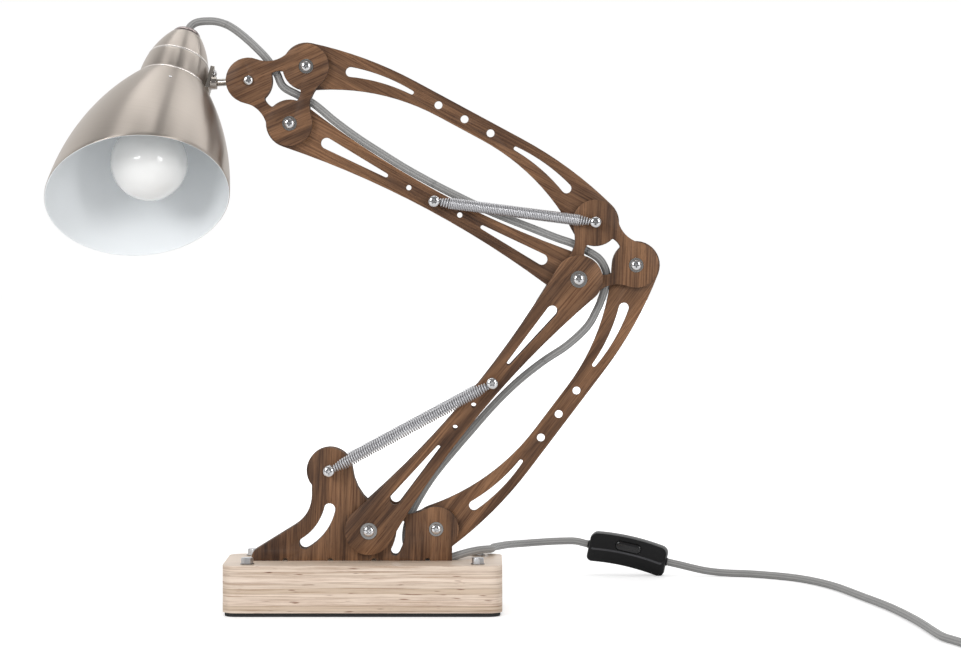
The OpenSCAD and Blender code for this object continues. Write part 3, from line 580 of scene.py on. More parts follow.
def baked(made):
    """The object's mesh with its modifiers applied."""
    shown = made.evaluated_get(bpy.context.evaluated_depsgraph_get())
    mesh = bpy.data.meshes.new_from_object(shown, preserve_all_data_layers=True,
                                           depsgraph=bpy.context.evaluated_depsgraph_get())
    made.modifiers.clear()
    made.data = mesh
    return made


def carved(made, cutters):
    """Cuts other shapes out of a shape."""
    for cutter in cutters:
        cut = made.modifiers.new("Cut", "BOOLEAN")
        cut.operation = "DIFFERENCE"
        cut.solver = "EXACT"
        cut.object = cutter
    baked(made)
    for cutter in cutters:
        bpy.data.objects.remove(cutter)
    return made


def stand_for(made, *nodes, slot):
    """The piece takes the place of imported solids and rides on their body."""
    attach(made, BODY_OF[nodes[0]])
    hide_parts(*nodes)


WELD_DISTANCE = 0.002 * MM
FLAT_WITHIN = math.radians(1)
ROUNDED_FROM = math.radians(38)


def softened(name, node, slot, width, finishes, choose=None, segments=2):
    """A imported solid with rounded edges, in its place. choose(normal) picks a finish."""
    work = bmesh.new()
    work.from_mesh(frame["nodes"][node].data)
    bmesh.ops.remove_doubles(work, verts=work.verts, dist=WELD_DISTANCE)
    bmesh.ops.dissolve_limit(work, angle_limit=FLAT_WITHIN, verts=work.verts, edges=work.edges)
    made = settled(name, work, finishes)
    for polygon in made.data.polygons:
        polygon.material_index = choose(polygon.normal) if choose else 0
    bevel = made.modifiers.new("Rounded edges", "BEVEL")
    bevel.width = width
    bevel.segments = segments
    bevel.limit_method = "ANGLE"
    bevel.angle_limit = ROUNDED_FROM
    bevel.material = -1
    stand_for(crisp(baked(made)), node, slot=slot)


def joined(name, pieces):
    """One object from several, with their finishes kept."""
    work = bmesh.new()
    finishes = []
    for piece in pieces:
        mesh = piece.data
        start = len(work.faces)
        work.from_mesh(mesh)
        work.faces.ensure_lookup_table()
        places = []
        for finish in mesh.materials:
            if finish not in finishes:
                finishes.append(finish)
            places.append(finishes.index(finish))
        for face in work.faces[start:]:
            face.material_index = places[min(face.material_index, len(places) - 1)]
        bpy.data.objects.remove(piece)
    return settled(name, work, finishes)


# ---------------------------------------------------------------- cords

def curve_through(points, steps):
    """A smooth curve through points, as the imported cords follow."""
    pts = [Vector(p) for p in points]
    path = []
    for i in range(len(pts) - 1):
        p0, p1 = pts[max(i - 1, 0)], pts[i]
        p2, p3 = pts[i + 1], pts[min(i + 2, len(pts) - 1)]
        for k in range(steps):
            t = k / steps
            path.append(0.5 * (2 * p1 + (p2 - p0) * t + (2 * p0 - 5 * p1 + 4 * p2 - p3) * t * t
                               + (3 * p1 - p0 - 3 * p2 + p3) * t ** 3))
    return path + [pts[-1]]


def swept(name, path, radii, finish, sides=20):
    """A round tube along a path. Its UV map runs along it in diameters, and round it."""
    count = len(path)
    radii = radii if hasattr(radii, "__len__") else [radii] * count
    ways = [(path[min(i + 1, count - 1)] - path[max(i - 1, 0)]).normalized()
            for i in range(count)]
    side = ways[0].cross(Vector((0, 0, 1)) if abs(ways[0].z) < 0.9 else Vector((0, 1, 0)))
    points, runs, run = [], [], 0.0
    for i in range(count):
        if i:
            side = ways[i - 1].rotation_difference(ways[i]) @ side
            run += (path[i] - path[i - 1]).length
        side = (side - side.dot(ways[i]) * ways[i]).normalized()
        other = ways[i].cross(side)
        runs.append(run / (2 * max(radii)))
        points += [path[i] + radii[i] * (side * math.cos(math.tau * k / sides)
                                         + other * math.sin(math.tau * k / sides))
                   for k in range(sides)]
    faces = quads(count, sides)
    uvs = [[(runs[i], k / sides), (runs[i], (k + 1) / sides),
            (runs[i + 1], (k + 1) / sides), (runs[i + 1], k / sides)]
           for i in range(count - 1) for k in range(sides)]
    for end in (0, count - 1):
        faces.append([end * sides + k for k in range(sides)])
        uvs.append([(runs[end], k / sides) for k in range(sides)])
    return outward(build(name, points, faces, [finish], None, uvs))


def in_mm(points):
    return [Vector(p) * MM for p in points]


# The lamp cord, from the top of the cap along the arms and down into the foot
LAMP_ROUTE = in_mm([
    (-136.8, 22.1, 438.7), (-135.9, 24.4, 442.7), (-133.9, 27.3, 446.9), (-129.7, 29.3, 449.9),
    (-123, 29.5, 451), (-114, 26.5, 450.5), (-105, 22, 447.5), (-96.5, 16, 442), (-88, 9, 435),
    (-80, 2.5, 427.5), (-73, 0, 420), (-66, 0, 409.5), (-61, 0, 399.5), (-49.6, 0, 393),
    (-37, 0, 385.8), (-22, 0, 373.4), (-4, 0, 360.2), (14, 0, 348.6), (32, 0, 337.4),
    (54, 0, 325.2), (73, 0, 315.6), (91, 0, 307), (109, 0, 299.4), (130, 0, 291.2),
    (147, 0, 284.5), (158.8, 0, 280.4), (169.9, 0, 274.8), (179.5, 0, 268.6), (184.4, 0, 260.2),
    (184.9, 0, 254.8), (184.57, 0, 249.8), (183.5, 0, 244.8), (181.4, 0, 238.2), (178.4, 0, 231),
    (170.5, 0, 217), (155, 0, 202.5), (137, 0, 190.5), (118, 0, 175.5), (99.5, 0, 157.5),
    (81, 0, 136.5), (63, 0, 115.5), (52, 0, 101.5), (43, 0, 87.5), (36, 0, 74), (32.5, 0, 62),
    (32.5, 0, 51), (37.5, 0, 42.5), (47, 0, 38.2), (55, 0, 37.9)])
LAMP_STEPS = 6

# The switch stands on one lower corner, turned and tilted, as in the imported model
SWITCH_LENGTH = 66 * MM
SWITCH_CORNER = 5 * MM
SWITCH_REST = Vector((SWITCH_LENGTH / 2 - SWITCH_CORNER, 0, 0))
AT_SWITCH = (Matrix.Translation((209.3 * MM, 235.4 * MM, 0))
             @ Matrix.Rotation(math.radians(-8), 4, "Z")
             @ Matrix.Translation(SWITCH_REST)
             @ Matrix.Rotation(math.radians(12), 4, "Y")
             @ Matrix.Translation(-SWITCH_REST))
CORD_IN_Z = 13 * MM


def switch_point(along):
    """A place on the cord's line through the switch."""
    return AT_SWITCH @ Vector((along * MM, 0, CORD_IN_Z))


# The mains cord: over the base to the switch, then along the table
MAINS = in_mm([
    (55, 0, 37.9), (60, 0, 38.4), (64.5, 0, 39.6), (69.5, 0.9, 41.2), (75, 3.8, 42.6),
    (81, 9.5, 43.6), (86.5, 16, 44), (91.6, 23, 43.9), (95.9, 30.5, 43.4), (97.2, 39, 42.7),
    (97.8, 47, 42), (98.4, 68, 40.3), (99.5, 98, 37.8), (102, 130, 35), (106, 160, 32.5),
    (110, 185, 30.6), (114, 203, 29.1), (118.5, 217, 28), (125, 229, 27.2), (134.5, 238, 27),
    (146, 242.5, 27.3), (158, 242.6, 27.8)]) + [
    switch_point(along) for along in (-45, -34.2, 0, 34.2, 45)] + in_mm([
    (263.5, 227.8, 7.5), (275, 226.3, 5), (287, 224.6, 3.5), (300, 221, 3), (320, 213, 3),
    (351, 184, 3), (373, 134, 3), (388, 63, 3), (402, -11, 3), (411, -90, 3), (416, -169, 3),
    (422, -195, 3), (430, -222, 3), (434.2, -240, 3)])
COIL_MIDDLE = Vector((478, -251, 0)) * MM
# Angle, radius and height of the spare cord's turns
COIL_ROUTE = [(184, 43.4, 3), (215, 41, 3), (250, 38, 3), (290, 37, 3), (535, 37, 3),
              (575, 33.6, 3), (612, 31, 3), (866, 31, 3), (900, 31, 6), (930, 31.5, 9),
              (970, 34, 8.2), (1225, 34, 8.2), (1260, 37, 9), (1290, 38.5, 8.4),
              (1310, 40, 9), (1330, 43, 6.6), (1345, 45.4, 3.6)]
PLUG_LEAD = in_mm([(486, -297, 3), (500, -296, 3), (516, -293, 3.2), (531, -286.5, 4),
                   (541.5, -276, 5.6), (547, -265, 6.8), (548, -257, 7)])
MAINS_STEPS = 4
TABLE_GAP = 0.1 * MM
STRAP_THICK = 0.7 * MM
STRAP_WIDE = 8 * MM
STRAP_MIDDLE = Vector((34, 0, 5)) * MM
SLEEVE_STEPS = 12
SLEEVE_THIN = 3.3 * MM
SLEEVE_THICK = 5 * MM


def coil_points():
    """The spare cord's turns, a point every 15 degrees."""
    angles, radii, heights = zip(*COIL_ROUTE)
    made = []
    for angle in np.arange(angles[0], angles[-1] + 0.1, 15):
        r = np.interp(angle, angles, radii) * MM
        z = np.interp(angle, angles, heights) * MM
        turn = math.radians(angle)
        made.append(COIL_MIDDLE + Vector((r * math.cos(turn), r * math.sin(turn), z)))
    return made


class LAMP_OT_cords(bpy.types.Operator):
    """Lay the lamp cord along the arms and the mains cord behind the base"""
    bl_idname = "lamp.cords"
    bl_label = "Cords"

    def execute(self, context):
        diameter = sizes().cord_diameter
        whole = curve_through(LAMP_ROUTE, LAMP_STEPS)
        # Name, stretch of the route, the two bodies, where the bend starts and ends, CAD piece
        runs = (
            ("lamp_cord_cap", 0, 6, "shade", "stem", 0, 6, "cord_cap_loop"),
            ("lamp_cord_stem", 6, 11, "stem", "head", 6, 11, "cord_stem_loop"),
            ("lamp_cord_upper", 11, 19, "head", "upper_arm", 11, 16, "cord_upper"),
            ("lamp_cord_bend", 19, 26, "upper_arm", "elbow", 21, 26, "cord_elbow"),
            ("lamp_cord_lower", 26, 36, "elbow", "lower_arm", 27, 32, "cord_lower"),
            ("lamp_cord_foot", 36, 48, "lower_arm", "base", 39, 45, "cord_foot"),
        )
        for name, first, last, carrier, next_carrier, start, end, node in runs:
            path = whole[first * LAMP_STEPS:last * LAMP_STEPS + 1]
            made = swept(name, path, diameter / 2, braid())
            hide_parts(node)
            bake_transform(made)
        path = curve_through(MAINS + coil_points() + PLUG_LEAD, MAINS_STEPS)
        for spot in path:
            spot.z = max(spot.z, diameter / 2)
        made = swept("mains_cord_laid", path, diameter / 2, braid())
        stand_for(made, "mains_cord", "cord_coil", slot="cord")
        tie = coil_tie()
        relief = plug_relief(path)
        return {"FINISHED"}


def coil_tie():
    """A flat strap round the spare turns."""
    corners = [(27.4, 0.7), (27.4, 3.4), (30.6, 10.9), (37.4, 10.9), (40.6, 3.4), (40.6, 0.7)]
    loop = curve_through(in_mm([(r, 0, z) for r, z in corners + corners[:1]]), 3)[:-1]
    points = []
    for place in loop:
        outer = place + (place - STRAP_MIDDLE).normalized() * STRAP_THICK
        for side, spot in ((0.5, place), (0.5, outer), (-0.5, outer), (-0.5, place)):
            points.append((COIL_MIDDLE.x + side * STRAP_WIDE, COIL_MIDDLE.y + spot.x,
                           max(TABLE_GAP, spot.z)))
    made = outward(build("coil_strap", points, quads(len(loop), 4, closed=True),
                         [plastic("strap_black", (0.02, 0.02, 0.02), 0.6)]))
    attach(made, "base")
    return made


def plug_relief(path):
    """The tapered sleeve where the cord enters the plug."""
    growth = (SLEEVE_THICK - SLEEVE_THIN) / SLEEVE_STEPS
    radii = [SLEEVE_THIN + growth * i for i in range(SLEEVE_STEPS + 1)]
    made = swept("plug_sleeve", path[-len(radii):], radii, plug_white(), 24)
    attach(made, "base")
    return made


# ---------------------------------------------------------------- wood

# The grain's direction in each piece, and how far it moves on from piece to piece
LOWER_WAY = heading(FOOT_A, ELBOW_P)
UPPER_WAY = heading(ELBOW_P, HEAD_1)
BOW_WAY = heading(FOOT_B, ELBOW_Q)
HEAD_WAY = math.radians(24)
UPRIGHT = math.radians(88)
GRAIN_STEP = 0.37


def flat_or_cut(normal):
    """0 for a plate's flat face, 1 for its cut edge."""
    return 0 if abs(normal.y) > 0.7 else 1


def top_or_side(normal):
    """0 for the block's top and bottom, 1 for its sides."""
    return 0 if abs(normal.z) > 0.8 else 1


class LAMP_OT_wood(bpy.types.Operator):
    """Dress the walnut plates and links, with grain along each piece"""
    bl_idname = "lamp.wood"
    bl_label = "Walnut plates and links"

    def execute(self, context):
        ways = {
            "foot_plate_front": UPRIGHT, "foot_plate_back": UPRIGHT,
            "lower_link_front": LOWER_WAY, "lower_link_back": LOWER_WAY,
            "elbow_plate_front": UPRIGHT, "elbow_plate_back": UPRIGHT,
            "lower_bowed_link": BOW_WAY, "upper_link": UPPER_WAY,
            "upper_bowed_link": UPPER_WAY,
            "head_plate_front": HEAD_WAY, "head_plate_back": HEAD_WAY,
        }
        for i, (node, way) in enumerate(ways.items()):
            softened(node + "_wood", node, "walnut_ply", sizes().wood_edge,
                     [walnut(way, GRAIN_STEP * i), cut_edge()], flat_or_cut)
        return {"FINISHED"}


class LAMP_OT_base(bpy.types.Operator):
    """Dress the plywood block, its pad, its ballast and the strip under the foot"""
    bl_idname = "lamp.base"
    bl_label = "Base"

    def execute(self, context):
        softened("plywood_block", "base_block", "birch_ply", 0.7 * MM,
                 [birch_face(), birch_edge()], top_or_side, 3)
        softened("foot_strip", "foot_keel", "birch_ply", sizes().wood_edge, [birch_edge()])
        softened("rubber_pad", "base_pad", "pad", 0.5 * MM,
                 [plastic("pad_rubber", (0.018, 0.018, 0.018), 0.72, 0.00006)])
        softened("steel_ballast", "ballast_plate", "ballast", 0.4 * MM,
                 [metal("rolled_steel", (0.30, 0.29, 0.28), 0.48)])
        return {"FINISHED"}


# ---------------------------------------------------------------- screws and springs

def group(name, inputs):
    """A geometry node group with named inputs and one geometry output."""
    tree = bpy.data.node_groups.new(name, "GeometryNodeTree")
    for label, kind, value in inputs:
        made = tree.interface.new_socket(label, in_out="INPUT", socket_type=kind)
        if value is not None:
            made.default_value = value
    tree.interface.new_socket("Geometry", in_out="OUTPUT", socket_type="NodeSocketGeometry")
    return tree, tree.nodes.new("NodeGroupInput").outputs


def grown(made, tree, **values):
    """The plain mesh that a node group makes on an object, with its inputs set by name."""
    modifier = made.modifiers.new(tree.name, "NODES")
    modifier.node_group = tree
    for item in tree.interface.items_tree:
        if item.in_out == "INPUT" and item.name in values:
            modifier[item.identifier] = values[item.name]
    return baked(made)


def closed_group(tree, geometry, finish):
    """Ends a node group: its geometry made real, with its finish."""
    real = add(tree, "GeometryNodeRealizeInstances", {"Geometry": geometry})
    dressed = add(tree, "GeometryNodeSetMaterial", {
        "Geometry": real.outputs[0], "Material": finish})
    tree.links.new(dressed.outputs[0], tree.nodes.new("NodeGroupOutput").inputs[0])
    return tree


def hardware_tree():
    """Sets a piece of hardware on every point of a mesh, turned by chance about its axis."""
    tree, given = group("Hardware On Points", [
        ("Geometry", "NodeSocketGeometry", None), ("Piece", "NodeSocketObject", None),
        ("Finish", "NodeSocketMaterial", None), ("Seed", "NodeSocketInt", 3)])
    piece = add(tree, "GeometryNodeObjectInfo", {"Object": given["Piece"]})
    size, turn = (add(tree, "GeometryNodeInputNamedAttribute", {"Name": label},
                      data_type="FLOAT_VECTOR") for label in ("size", "turn"))
    chance = add(tree, "FunctionNodeRandomValue", {"Seed": given["Seed"]}, data_type="FLOAT")
    chance.inputs[2].default_value = 0.0
    chance.inputs[3].default_value = math.tau
    own = add(tree, "ShaderNodeCombineXYZ", {"Z": chance.outputs[1]})
    spread = add(tree, "GeometryNodeInstanceOnPoints", {
        "Points": given["Geometry"], "Instance": piece.outputs["Geometry"],
        "Rotation": turn.outputs[0], "Scale": size.outputs[0]})
    spun = add(tree, "GeometryNodeRotateInstances", {
        "Instances": spread.outputs[0], "Rotation": own.outputs[0]})
    spun.inputs["Local Space"].default_value = True
    return closed_group(tree, spun.outputs[0], given["Finish"])


TO_FRONT = (math.pi / 2, 0, 0)
TO_BACK = (-math.pi / 2, 0, 0)
SIDES = ((-1, TO_FRONT), (1, TO_BACK))


def set_out(name, tree, places, piece, finish, seed):
    """One mesh with the piece at each (place, size, turn)."""
    mesh = bpy.data.meshes.new(name)
    mesh.from_pydata([tuple(place) for place, size, turn in places], [], [])
    for label, column in (("size", 1), ("turn", 2)):
        values = mesh.attributes.new(label, "FLOAT_VECTOR", "POINT")
        values.data.foreach_set("vector", [c for place in places for c in place[column]])
    return grown(link(name, mesh), tree, Piece=piece, Finish=finish, Seed=seed)


def pan_head():
    """A unit pan head, 1 across and standing on z = 0, with a cross recess."""
    dome = [(0, 0.0), (0.46, 0.0), (0.5, 0.03), (0.5, 0.10), (0.485, 0.17), (0.44, 0.235),
            (0.36, 0.285), (0.24, 0.312), (0.12, 0.32), (0, 0.322)]
    head = lathe("pan_head", dome, [chrome()], 40)
    # The cutters' walls carry a near-black metal: painted shade inside the cross recess
    cutters = []
    for turn in (0, math.pi / 2):
        corners = []
        for z, length, half in ((0.05, 0.12, 0.045), (0.45, 0.36, 0.095)):
            for x, y in ((-length, -half), (length, -half), (length, half), (-length, half)):
                corners.append(Matrix.Rotation(turn, 3, "Z") @ Vector((x, y, z)))
        cutters.append(outward(build("recess", corners, [
            [3, 2, 1, 0], [4, 5, 6, 7], [0, 1, 5, 4], [1, 2, 6, 5], [2, 3, 7, 6], [3, 0, 4, 7]],
            [metal("recess_painted_shade", (0.10, 0.10, 0.10), 0.45)], smooth=False)))
    return crisp(carved(head, cutters), 28)


UNIT_WASHER_HIGH = 0.0625
HEX_HALF_FLAT = 0.435
HEX_INSIDE = 0.42


def washer():
    """A unit washer, 1 across, with rounded edges."""
    inner, outer, high, edge = 0.2, 0.5, UNIT_WASHER_HIGH, 0.012
    return crisp(lathe("washer", [
        (inner, 0), (outer - edge, 0), (outer, edge), (outer, high - edge), (outer - edge, high),
        (inner + edge, high), (inner, high - edge), (inner, 0)], [washer_steel()], 48), 40)


def six_sided(name, profile):
    """A unit hexagon, 1 across its corners, pressed out of a turned piece."""
    made = lathe(name, profile, [chrome()], 48)
    for vertex in made.data.vertices:
        radius = math.hypot(vertex.co.x, vertex.co.y)
        if radius > HEX_INSIDE:
            around = math.atan2(vertex.co.y, vertex.co.x) % (math.pi / 3) - math.pi / 6
            reach = min(radius, HEX_HALF_FLAT / math.cos(around))
            vertex.co.x *= reach / radius
            vertex.co.y *= reach / radius
    return crisp(made, 25)


def hex_nut():
    """A nut with turned corners and a screw's end in it."""
    return six_sided("hex_nut", [
        (0.0, 0.0), (0.46, 0.0), (0.5, 0.035), (0.5, 0.37), (0.44, 0.41), (0.29, 0.41),
        (0.27, 0.39), (0.27, 0.47), (0.24, 0.50), (0.0, 0.50)])


def hex_head():
    """A bolt head, domed a little at the top."""
    return six_sided("hex_head", [
        (0.0, 0.0), (0.5, 0.0), (0.5, 0.33), (0.43, 0.375), (0.30, 0.385), (0.0, 0.39)])


def shank():
    """A unit shank along z, 1 across and 1 long."""
    return crisp(lathe("shank", [(0, 0), (0.5, 0), (0.5, 1), (0, 1)], [chrome()], 24), 40)


def spool():
    """A unit spacer tube along z, 1 across and 1 long, turned with a groove at each end."""
    return crisp(lathe("spool", [
        (0, 0), (0.47, 0), (0.5, 0.03), (0.5, 0.10), (0.46, 0.14), (0.46, 0.86), (0.5, 0.90),
        (0.5, 0.97), (0.47, 1), (0, 1)], [chrome()], 32), 30)


HEAD_WIDE = 8.6 * MM
SMALL_HEAD = 7.8 * MM
TILT_HEAD = 7.6 * MM
WASHER_WIDE = 12.8 * MM
SMALL_WASHER = 11 * MM
TILT_WASHER = 7.5 * MM
WASHER_THICK = 0.8 * MM
TILT_WASHER_THICK = 0.3 * MM
NUT_WIDE = 8.8 * MM
SHANK_WIDE = 5 * MM
SPOOL_WIDE = 8.4 * MM
BOLT_WIDE = 9.2 * MM
BOLT_STRETCH = 11.4 * MM
BOLT_WASHER_WIDE = 10.6 * MM
BOLT_WASHER_THICK = 0.875 * MM
BOLT_LIFT = 0.9 * MM
EYE_HALF = 0.75 * MM
LOWER_SPRING_Y = OUTER_OUT + 4.9 * MM
UPPER_SPRING_Y = PLATE_OUT + 4.9 * MM


def at_face(place, y):
    return Vector((place.x, y, place.z))


def shank_through(place, reach):
    return at_face(place, -reach), (SHANK_WIDE, SHANK_WIDE, 2 * reach), TO_BACK


def through_screws(screws):
    """Where the parts of screws go: (place, y of the wood, head, washer, its thickness)."""
    parts = {"head": [], "washer": [], "nut": [], "shank": []}
    for place, face, head, wide, thick in screws:
        parts["head"].append((at_face(place, -face - thick), (head,) * 3, TO_FRONT))
        parts["nut"].append((at_face(place, face + thick), (NUT_WIDE,) * 3, TO_BACK))
        parts["shank"].append(shank_through(place, face))
        for side, turn in SIDES:
            parts["washer"].append((at_face(place, side * face), (wide,) * 3, turn))
    return parts


def spring_screw(place, wood, eye):
    """Where the parts of a screw with a spring's eye at each end go."""
    parts = {"head": [], "spool": [], "shank": [shank_through(place, eye)]}
    for side, turn in SIDES:
        parts["head"].append((at_face(place, side * (eye + EYE_HALF)), (HEAD_WIDE,) * 3, turn))
        parts["spool"].append((at_face(place, side * wood),
                               (SPOOL_WIDE, SPOOL_WIDE, eye - EYE_HALF - wood), turn))
    return parts


def base_bolt(node):
    """Where the parts of a hex bolt on the block's top go."""
    spot, foot, top = middle(node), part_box(node)[0][2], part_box("base_block")[1][2]
    rows = (("washer", top, BOLT_WASHER_WIDE, BOLT_WASHER_THICK / UNIT_WASHER_HIGH),
            ("bolt", top + BOLT_LIFT, BOLT_WIDE, BOLT_STRETCH),
            ("shank", foot, SHANK_WIDE, top - foot))
    return {part: [(Vector((spot.x, spot.y, z)), (wide, wide, high), (0, 0, 0))]
            for part, z, wide, high in rows}


class LAMP_OT_screws(bpy.types.Operator):
    """Set the pan-head screws, washers, nuts and base bolts"""
    bl_idname = "lamp.screws"
    bl_label = "Screws"

    def execute(self, context):
        tree = hardware_tree()
        parts = {"head": (pan_head(), chrome()), "washer": (washer(), washer_steel()),
                 "nut": (hex_nut(), chrome()), "shank": (shank(), chrome()),
                 "spool": (spool(), chrome()), "bolt": (hex_head(), zinc())}
        large = OUTER_OUT, HEAD_WIDE, WASHER_WIDE, WASHER_THICK
        small = PLATE_OUT, SMALL_HEAD, SMALL_WASHER, WASHER_THICK
        tilt = PLATE_OUT, TILT_HEAD, TILT_WASHER, TILT_WASHER_THICK
        # Name, where its parts go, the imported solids, and how far the seed moves on
        rows = [
            ("base_screws", through_screws([(FOOT_A, *large), (FOOT_B, *small)]),
             ["foot_bolt_a", "foot_bolt_b"], 2),
            ("elbow_screws", through_screws([(ELBOW_P, *large), (ELBOW_Q, *small)]),
             ["elbow_bolt_p", "elbow_bolt_q"], 2),
            ("head_screws", through_screws([(HEAD_1, *small), (HEAD_2, *small), (HEAD_3, *tilt)]),
             ["head_bolt_lower", "head_bolt_upper", "head_bolt_tilt"], 2),
            ("base_spring_screws", spring_screw(POST, PLATE_OUT, LOWER_SPRING_Y),
             ["foot_post_pin"], 2),
            ("lower_arm_spring_screws", spring_screw(LOWER_PIN, OUTER_OUT, LOWER_SPRING_Y),
             ["lower_spring_pin"], 2),
            ("elbow_spring_screws", spring_screw(ELBOW_U, PLATE_OUT, UPPER_SPRING_Y),
             ["elbow_bolt_u"], 2),
            ("upper_arm_spring_screws", spring_screw(UPPER_PIN, LINK_FACE, UPPER_SPRING_Y),
             ["upper_spring_pin"], 2),
        ] + [("base_" + node, base_bolt(node), [node], 1) for node in (
            "bolt_front_left", "bolt_front_right", "bolt_back_left", "bolt_back_right")]
        seed = 3
        for name, places, nodes, step in rows:
            made = joined(name, [set_out(part, tree, spots, *parts[part], seed + (part == "nut"))
                                 for part, spots in places.items()])
            stand_for(made, *nodes, slot="fasteners")
            seed += step
        for piece, _ in parts.values():
            bpy.data.objects.remove(piece)
        return {"FINISHED"}


CONE_TURNS = 4.0


def spring_tree():
    """A wound spring along X with a round eye at each end."""
    tree, given = group("Extension Spring", [
        ("Geometry", "NodeSocketGeometry", None), ("Length", "NodeSocketFloat", 0.18),
        ("Turns", "NodeSocketFloat", 60.0), ("Coil Radius", "NodeSocketFloat", 0.004),
        ("Wire Radius", "NodeSocketFloat", 0.0006), ("Eye Radius", "NodeSocketFloat", 0.0033),
        ("Lead", "NodeSocketFloat", 0.0046), ("Cone", "NodeSocketFloat", 0.008),
        ("Neck Radius", "NodeSocketFloat", 0.0022), ("Finish", "NodeSocketMaterial", None)])
    length, lead, eye, cone = given["Length"], given["Lead"], given["Eye Radius"], given["Cone"]

    def at(x, y=0.0, z=0.0):
        return add(tree, "ShaderNodeCombineXYZ", {"X": x, "Y": y, "Z": z}).outputs[0]

    def wound(turns, start, end, first, reach):
        coil = add(tree, "GeometryNodeCurveSpiral", {
            "Resolution": 16, "Rotations": turns, "Start Radius": start, "End Radius": end,
            "Height": reach})
        return add(tree, "GeometryNodeTransform", {
            "Geometry": coil.outputs[0], "Translation": at(first),
            "Rotation": (0, math.pi / 2, 0)}).outputs[0]

    wide, neck = given["Coil Radius"], given["Neck Radius"]
    body = calc(tree, "ADD", lead, cone)
    run = calc(tree, "SUBTRACT", length, calc(tree, "MULTIPLY", body, 2.0))
    curves = [wound(given["Turns"], wide, wide, body, run),
              wound(CONE_TURNS, neck, wide, lead, cone),
              wound(CONE_TURNS, wide, neck, calc(tree, "ADD", body, run), cone)]
    far = calc(tree, "SUBTRACT", length, lead)
    for middle_x, start, end in ((0.0, eye, lead),
                                 (length, calc(tree, "SUBTRACT", length, eye), far)):
        loop = add(tree, "GeometryNodeCurvePrimitiveCircle", {"Resolution": 28, "Radius": eye})
        curves.append(add(tree, "GeometryNodeTransform", {
            "Geometry": loop.outputs[0], "Translation": at(middle_x),
            "Rotation": (math.pi / 2, 0, 0)}).outputs[0])
        arm = add(tree, "GeometryNodeCurvePrimitiveLine", {"Start": at(start), "End": at(end)})
        turn = add(tree, "GeometryNodeCurvePrimitiveLine", {
            "Start": at(end), "End": at(end, 0.0, calc(tree, "MULTIPLY", neck, -1.0))})
        curves += [arm.outputs[0], turn.outputs[0]]
    bundle = tree.nodes.new("GeometryNodeJoinGeometry")
    for curve in curves:
        tree.links.new(curve, bundle.inputs[0])
    wire = add(tree, "GeometryNodeCurvePrimitiveCircle", {
        "Resolution": 8, "Radius": given["Wire Radius"]})
    tube = add(tree, "GeometryNodeCurveToMesh", {
        "Curve": bundle.outputs[0], "Profile Curve": wire.outputs[0], "Fill Caps": True})
    return closed_group(tree, tube.outputs[0], given["Finish"])


def cut_in_two(made, names, place):
    """Splits a closed mesh at x = place into two closed meshes."""
    pieces = []
    for name, near in zip(names, (True, False)):
        work = bmesh.new()
        work.from_mesh(made.data)
        gone = [face for face in work.faces if (face.calc_center_median().x < place) != near]
        bmesh.ops.delete(work, geom=gone, context="FACES")
        rim = [edge for edge in work.edges if edge.is_boundary]
        bmesh.ops.holes_fill(work, edges=rim, sides=0)
        pieces.append(outward(settled(name, work, made.data.materials)))
    bpy.data.objects.remove(made)
    return pieces


class LAMP_OT_springs(bpy.types.Operator):
    """Wind the four extension springs"""
    bl_idname = "lamp.springs"
    bl_label = "Springs"

    def execute(self, context):
        tree = spring_tree()
        wire = sizes().spring_wire / 2
        coil = sizes().spring_diameter / 2 - wire
        # The share of each spring's length where it is cut, and the two shares between which each part bends
        rows = (
            ("lower", POST, LOWER_PIN, LOWER_SPRING_Y, sizes().lower_coils, "base", "lower_arm",
             0.10, (0, 0.176), (-0.555, 0.6)),
            ("upper", ELBOW_U, UPPER_PIN, UPPER_SPRING_Y, sizes().upper_coils, "elbow",
             "upper_arm", 0.06, (0, 0.106), (-0.385, 0.4)),
        )
        for name, start, end, out, turns, first, second, cut, near, far in rows:
            for side, word in ((-1, "front"), (1, "back")):
                made = outward(grown(link("spring", bpy.data.meshes.new("spring")), tree, **{
                    "Length": (end - start).length, "Turns": float(turns), "Coil Radius": coil,
                    "Wire Radius": wire, "Finish": spring_steel()}))
                label = f"{name}_spring_{word}"
                pieces = cut_in_two(made, (label + "_eye", label + "_wire"),
                                    cut * (end - start).length)
                for piece, bend in zip(pieces, (near, far)):
                    piece.data.transform(
                        Matrix.Translation(start + Vector((0, side * out, 0)))
                        @ Matrix.Rotation(-heading(start, end), 4, "Y"))
                    crisp(piece, 50)
                    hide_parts(label)
                    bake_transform(piece)
        return {"FINISHED"}


# ---------------------------------------------------------------- shade

SHADE_FRAME = (Matrix.Translation(NECK) @ Matrix.Rotation(math.radians(-30), 4, "X")
               @ Matrix.Rotation(math.radians(11.5), 4, "Y"))
SHADE_RADIUS = 68.5
SHADE_CURVE = 190
SHADE_WIDEST = 118
RIM_DEPTH = 98.8
RIM_SLANT = math.radians(18.9)
RIM_SIDE = math.radians(145)
SHEET = 1.2
CAP_RADIUS = 26.4
CAP_CURVE = 76
CAP_LENGTH = 44.4
CAP_SEAM = 20.5
SHADE_SEAM = math.radians(60)
CORD_HOLE = 3.4
RIVET_TURN = math.radians(279)
RIVET_DEPTH = 15.0
CLAMP_WIDE = 6.2
CLAMP_HEIGHT = 16.5
HOLDER_RADIUS = 19.5
BULB_RADIUS = 29
BULB_DROP = 69.5
BULB_SEAT = -36
THREAD_STEP = 3.1


def shade_out(depth):
    """The shade's outer radius at a depth below the cap, in millimetres."""
    return SHADE_RADIUS - SHADE_CURVE + math.sqrt(SHADE_CURVE ** 2 - (SHADE_WIDEST - depth) ** 2)


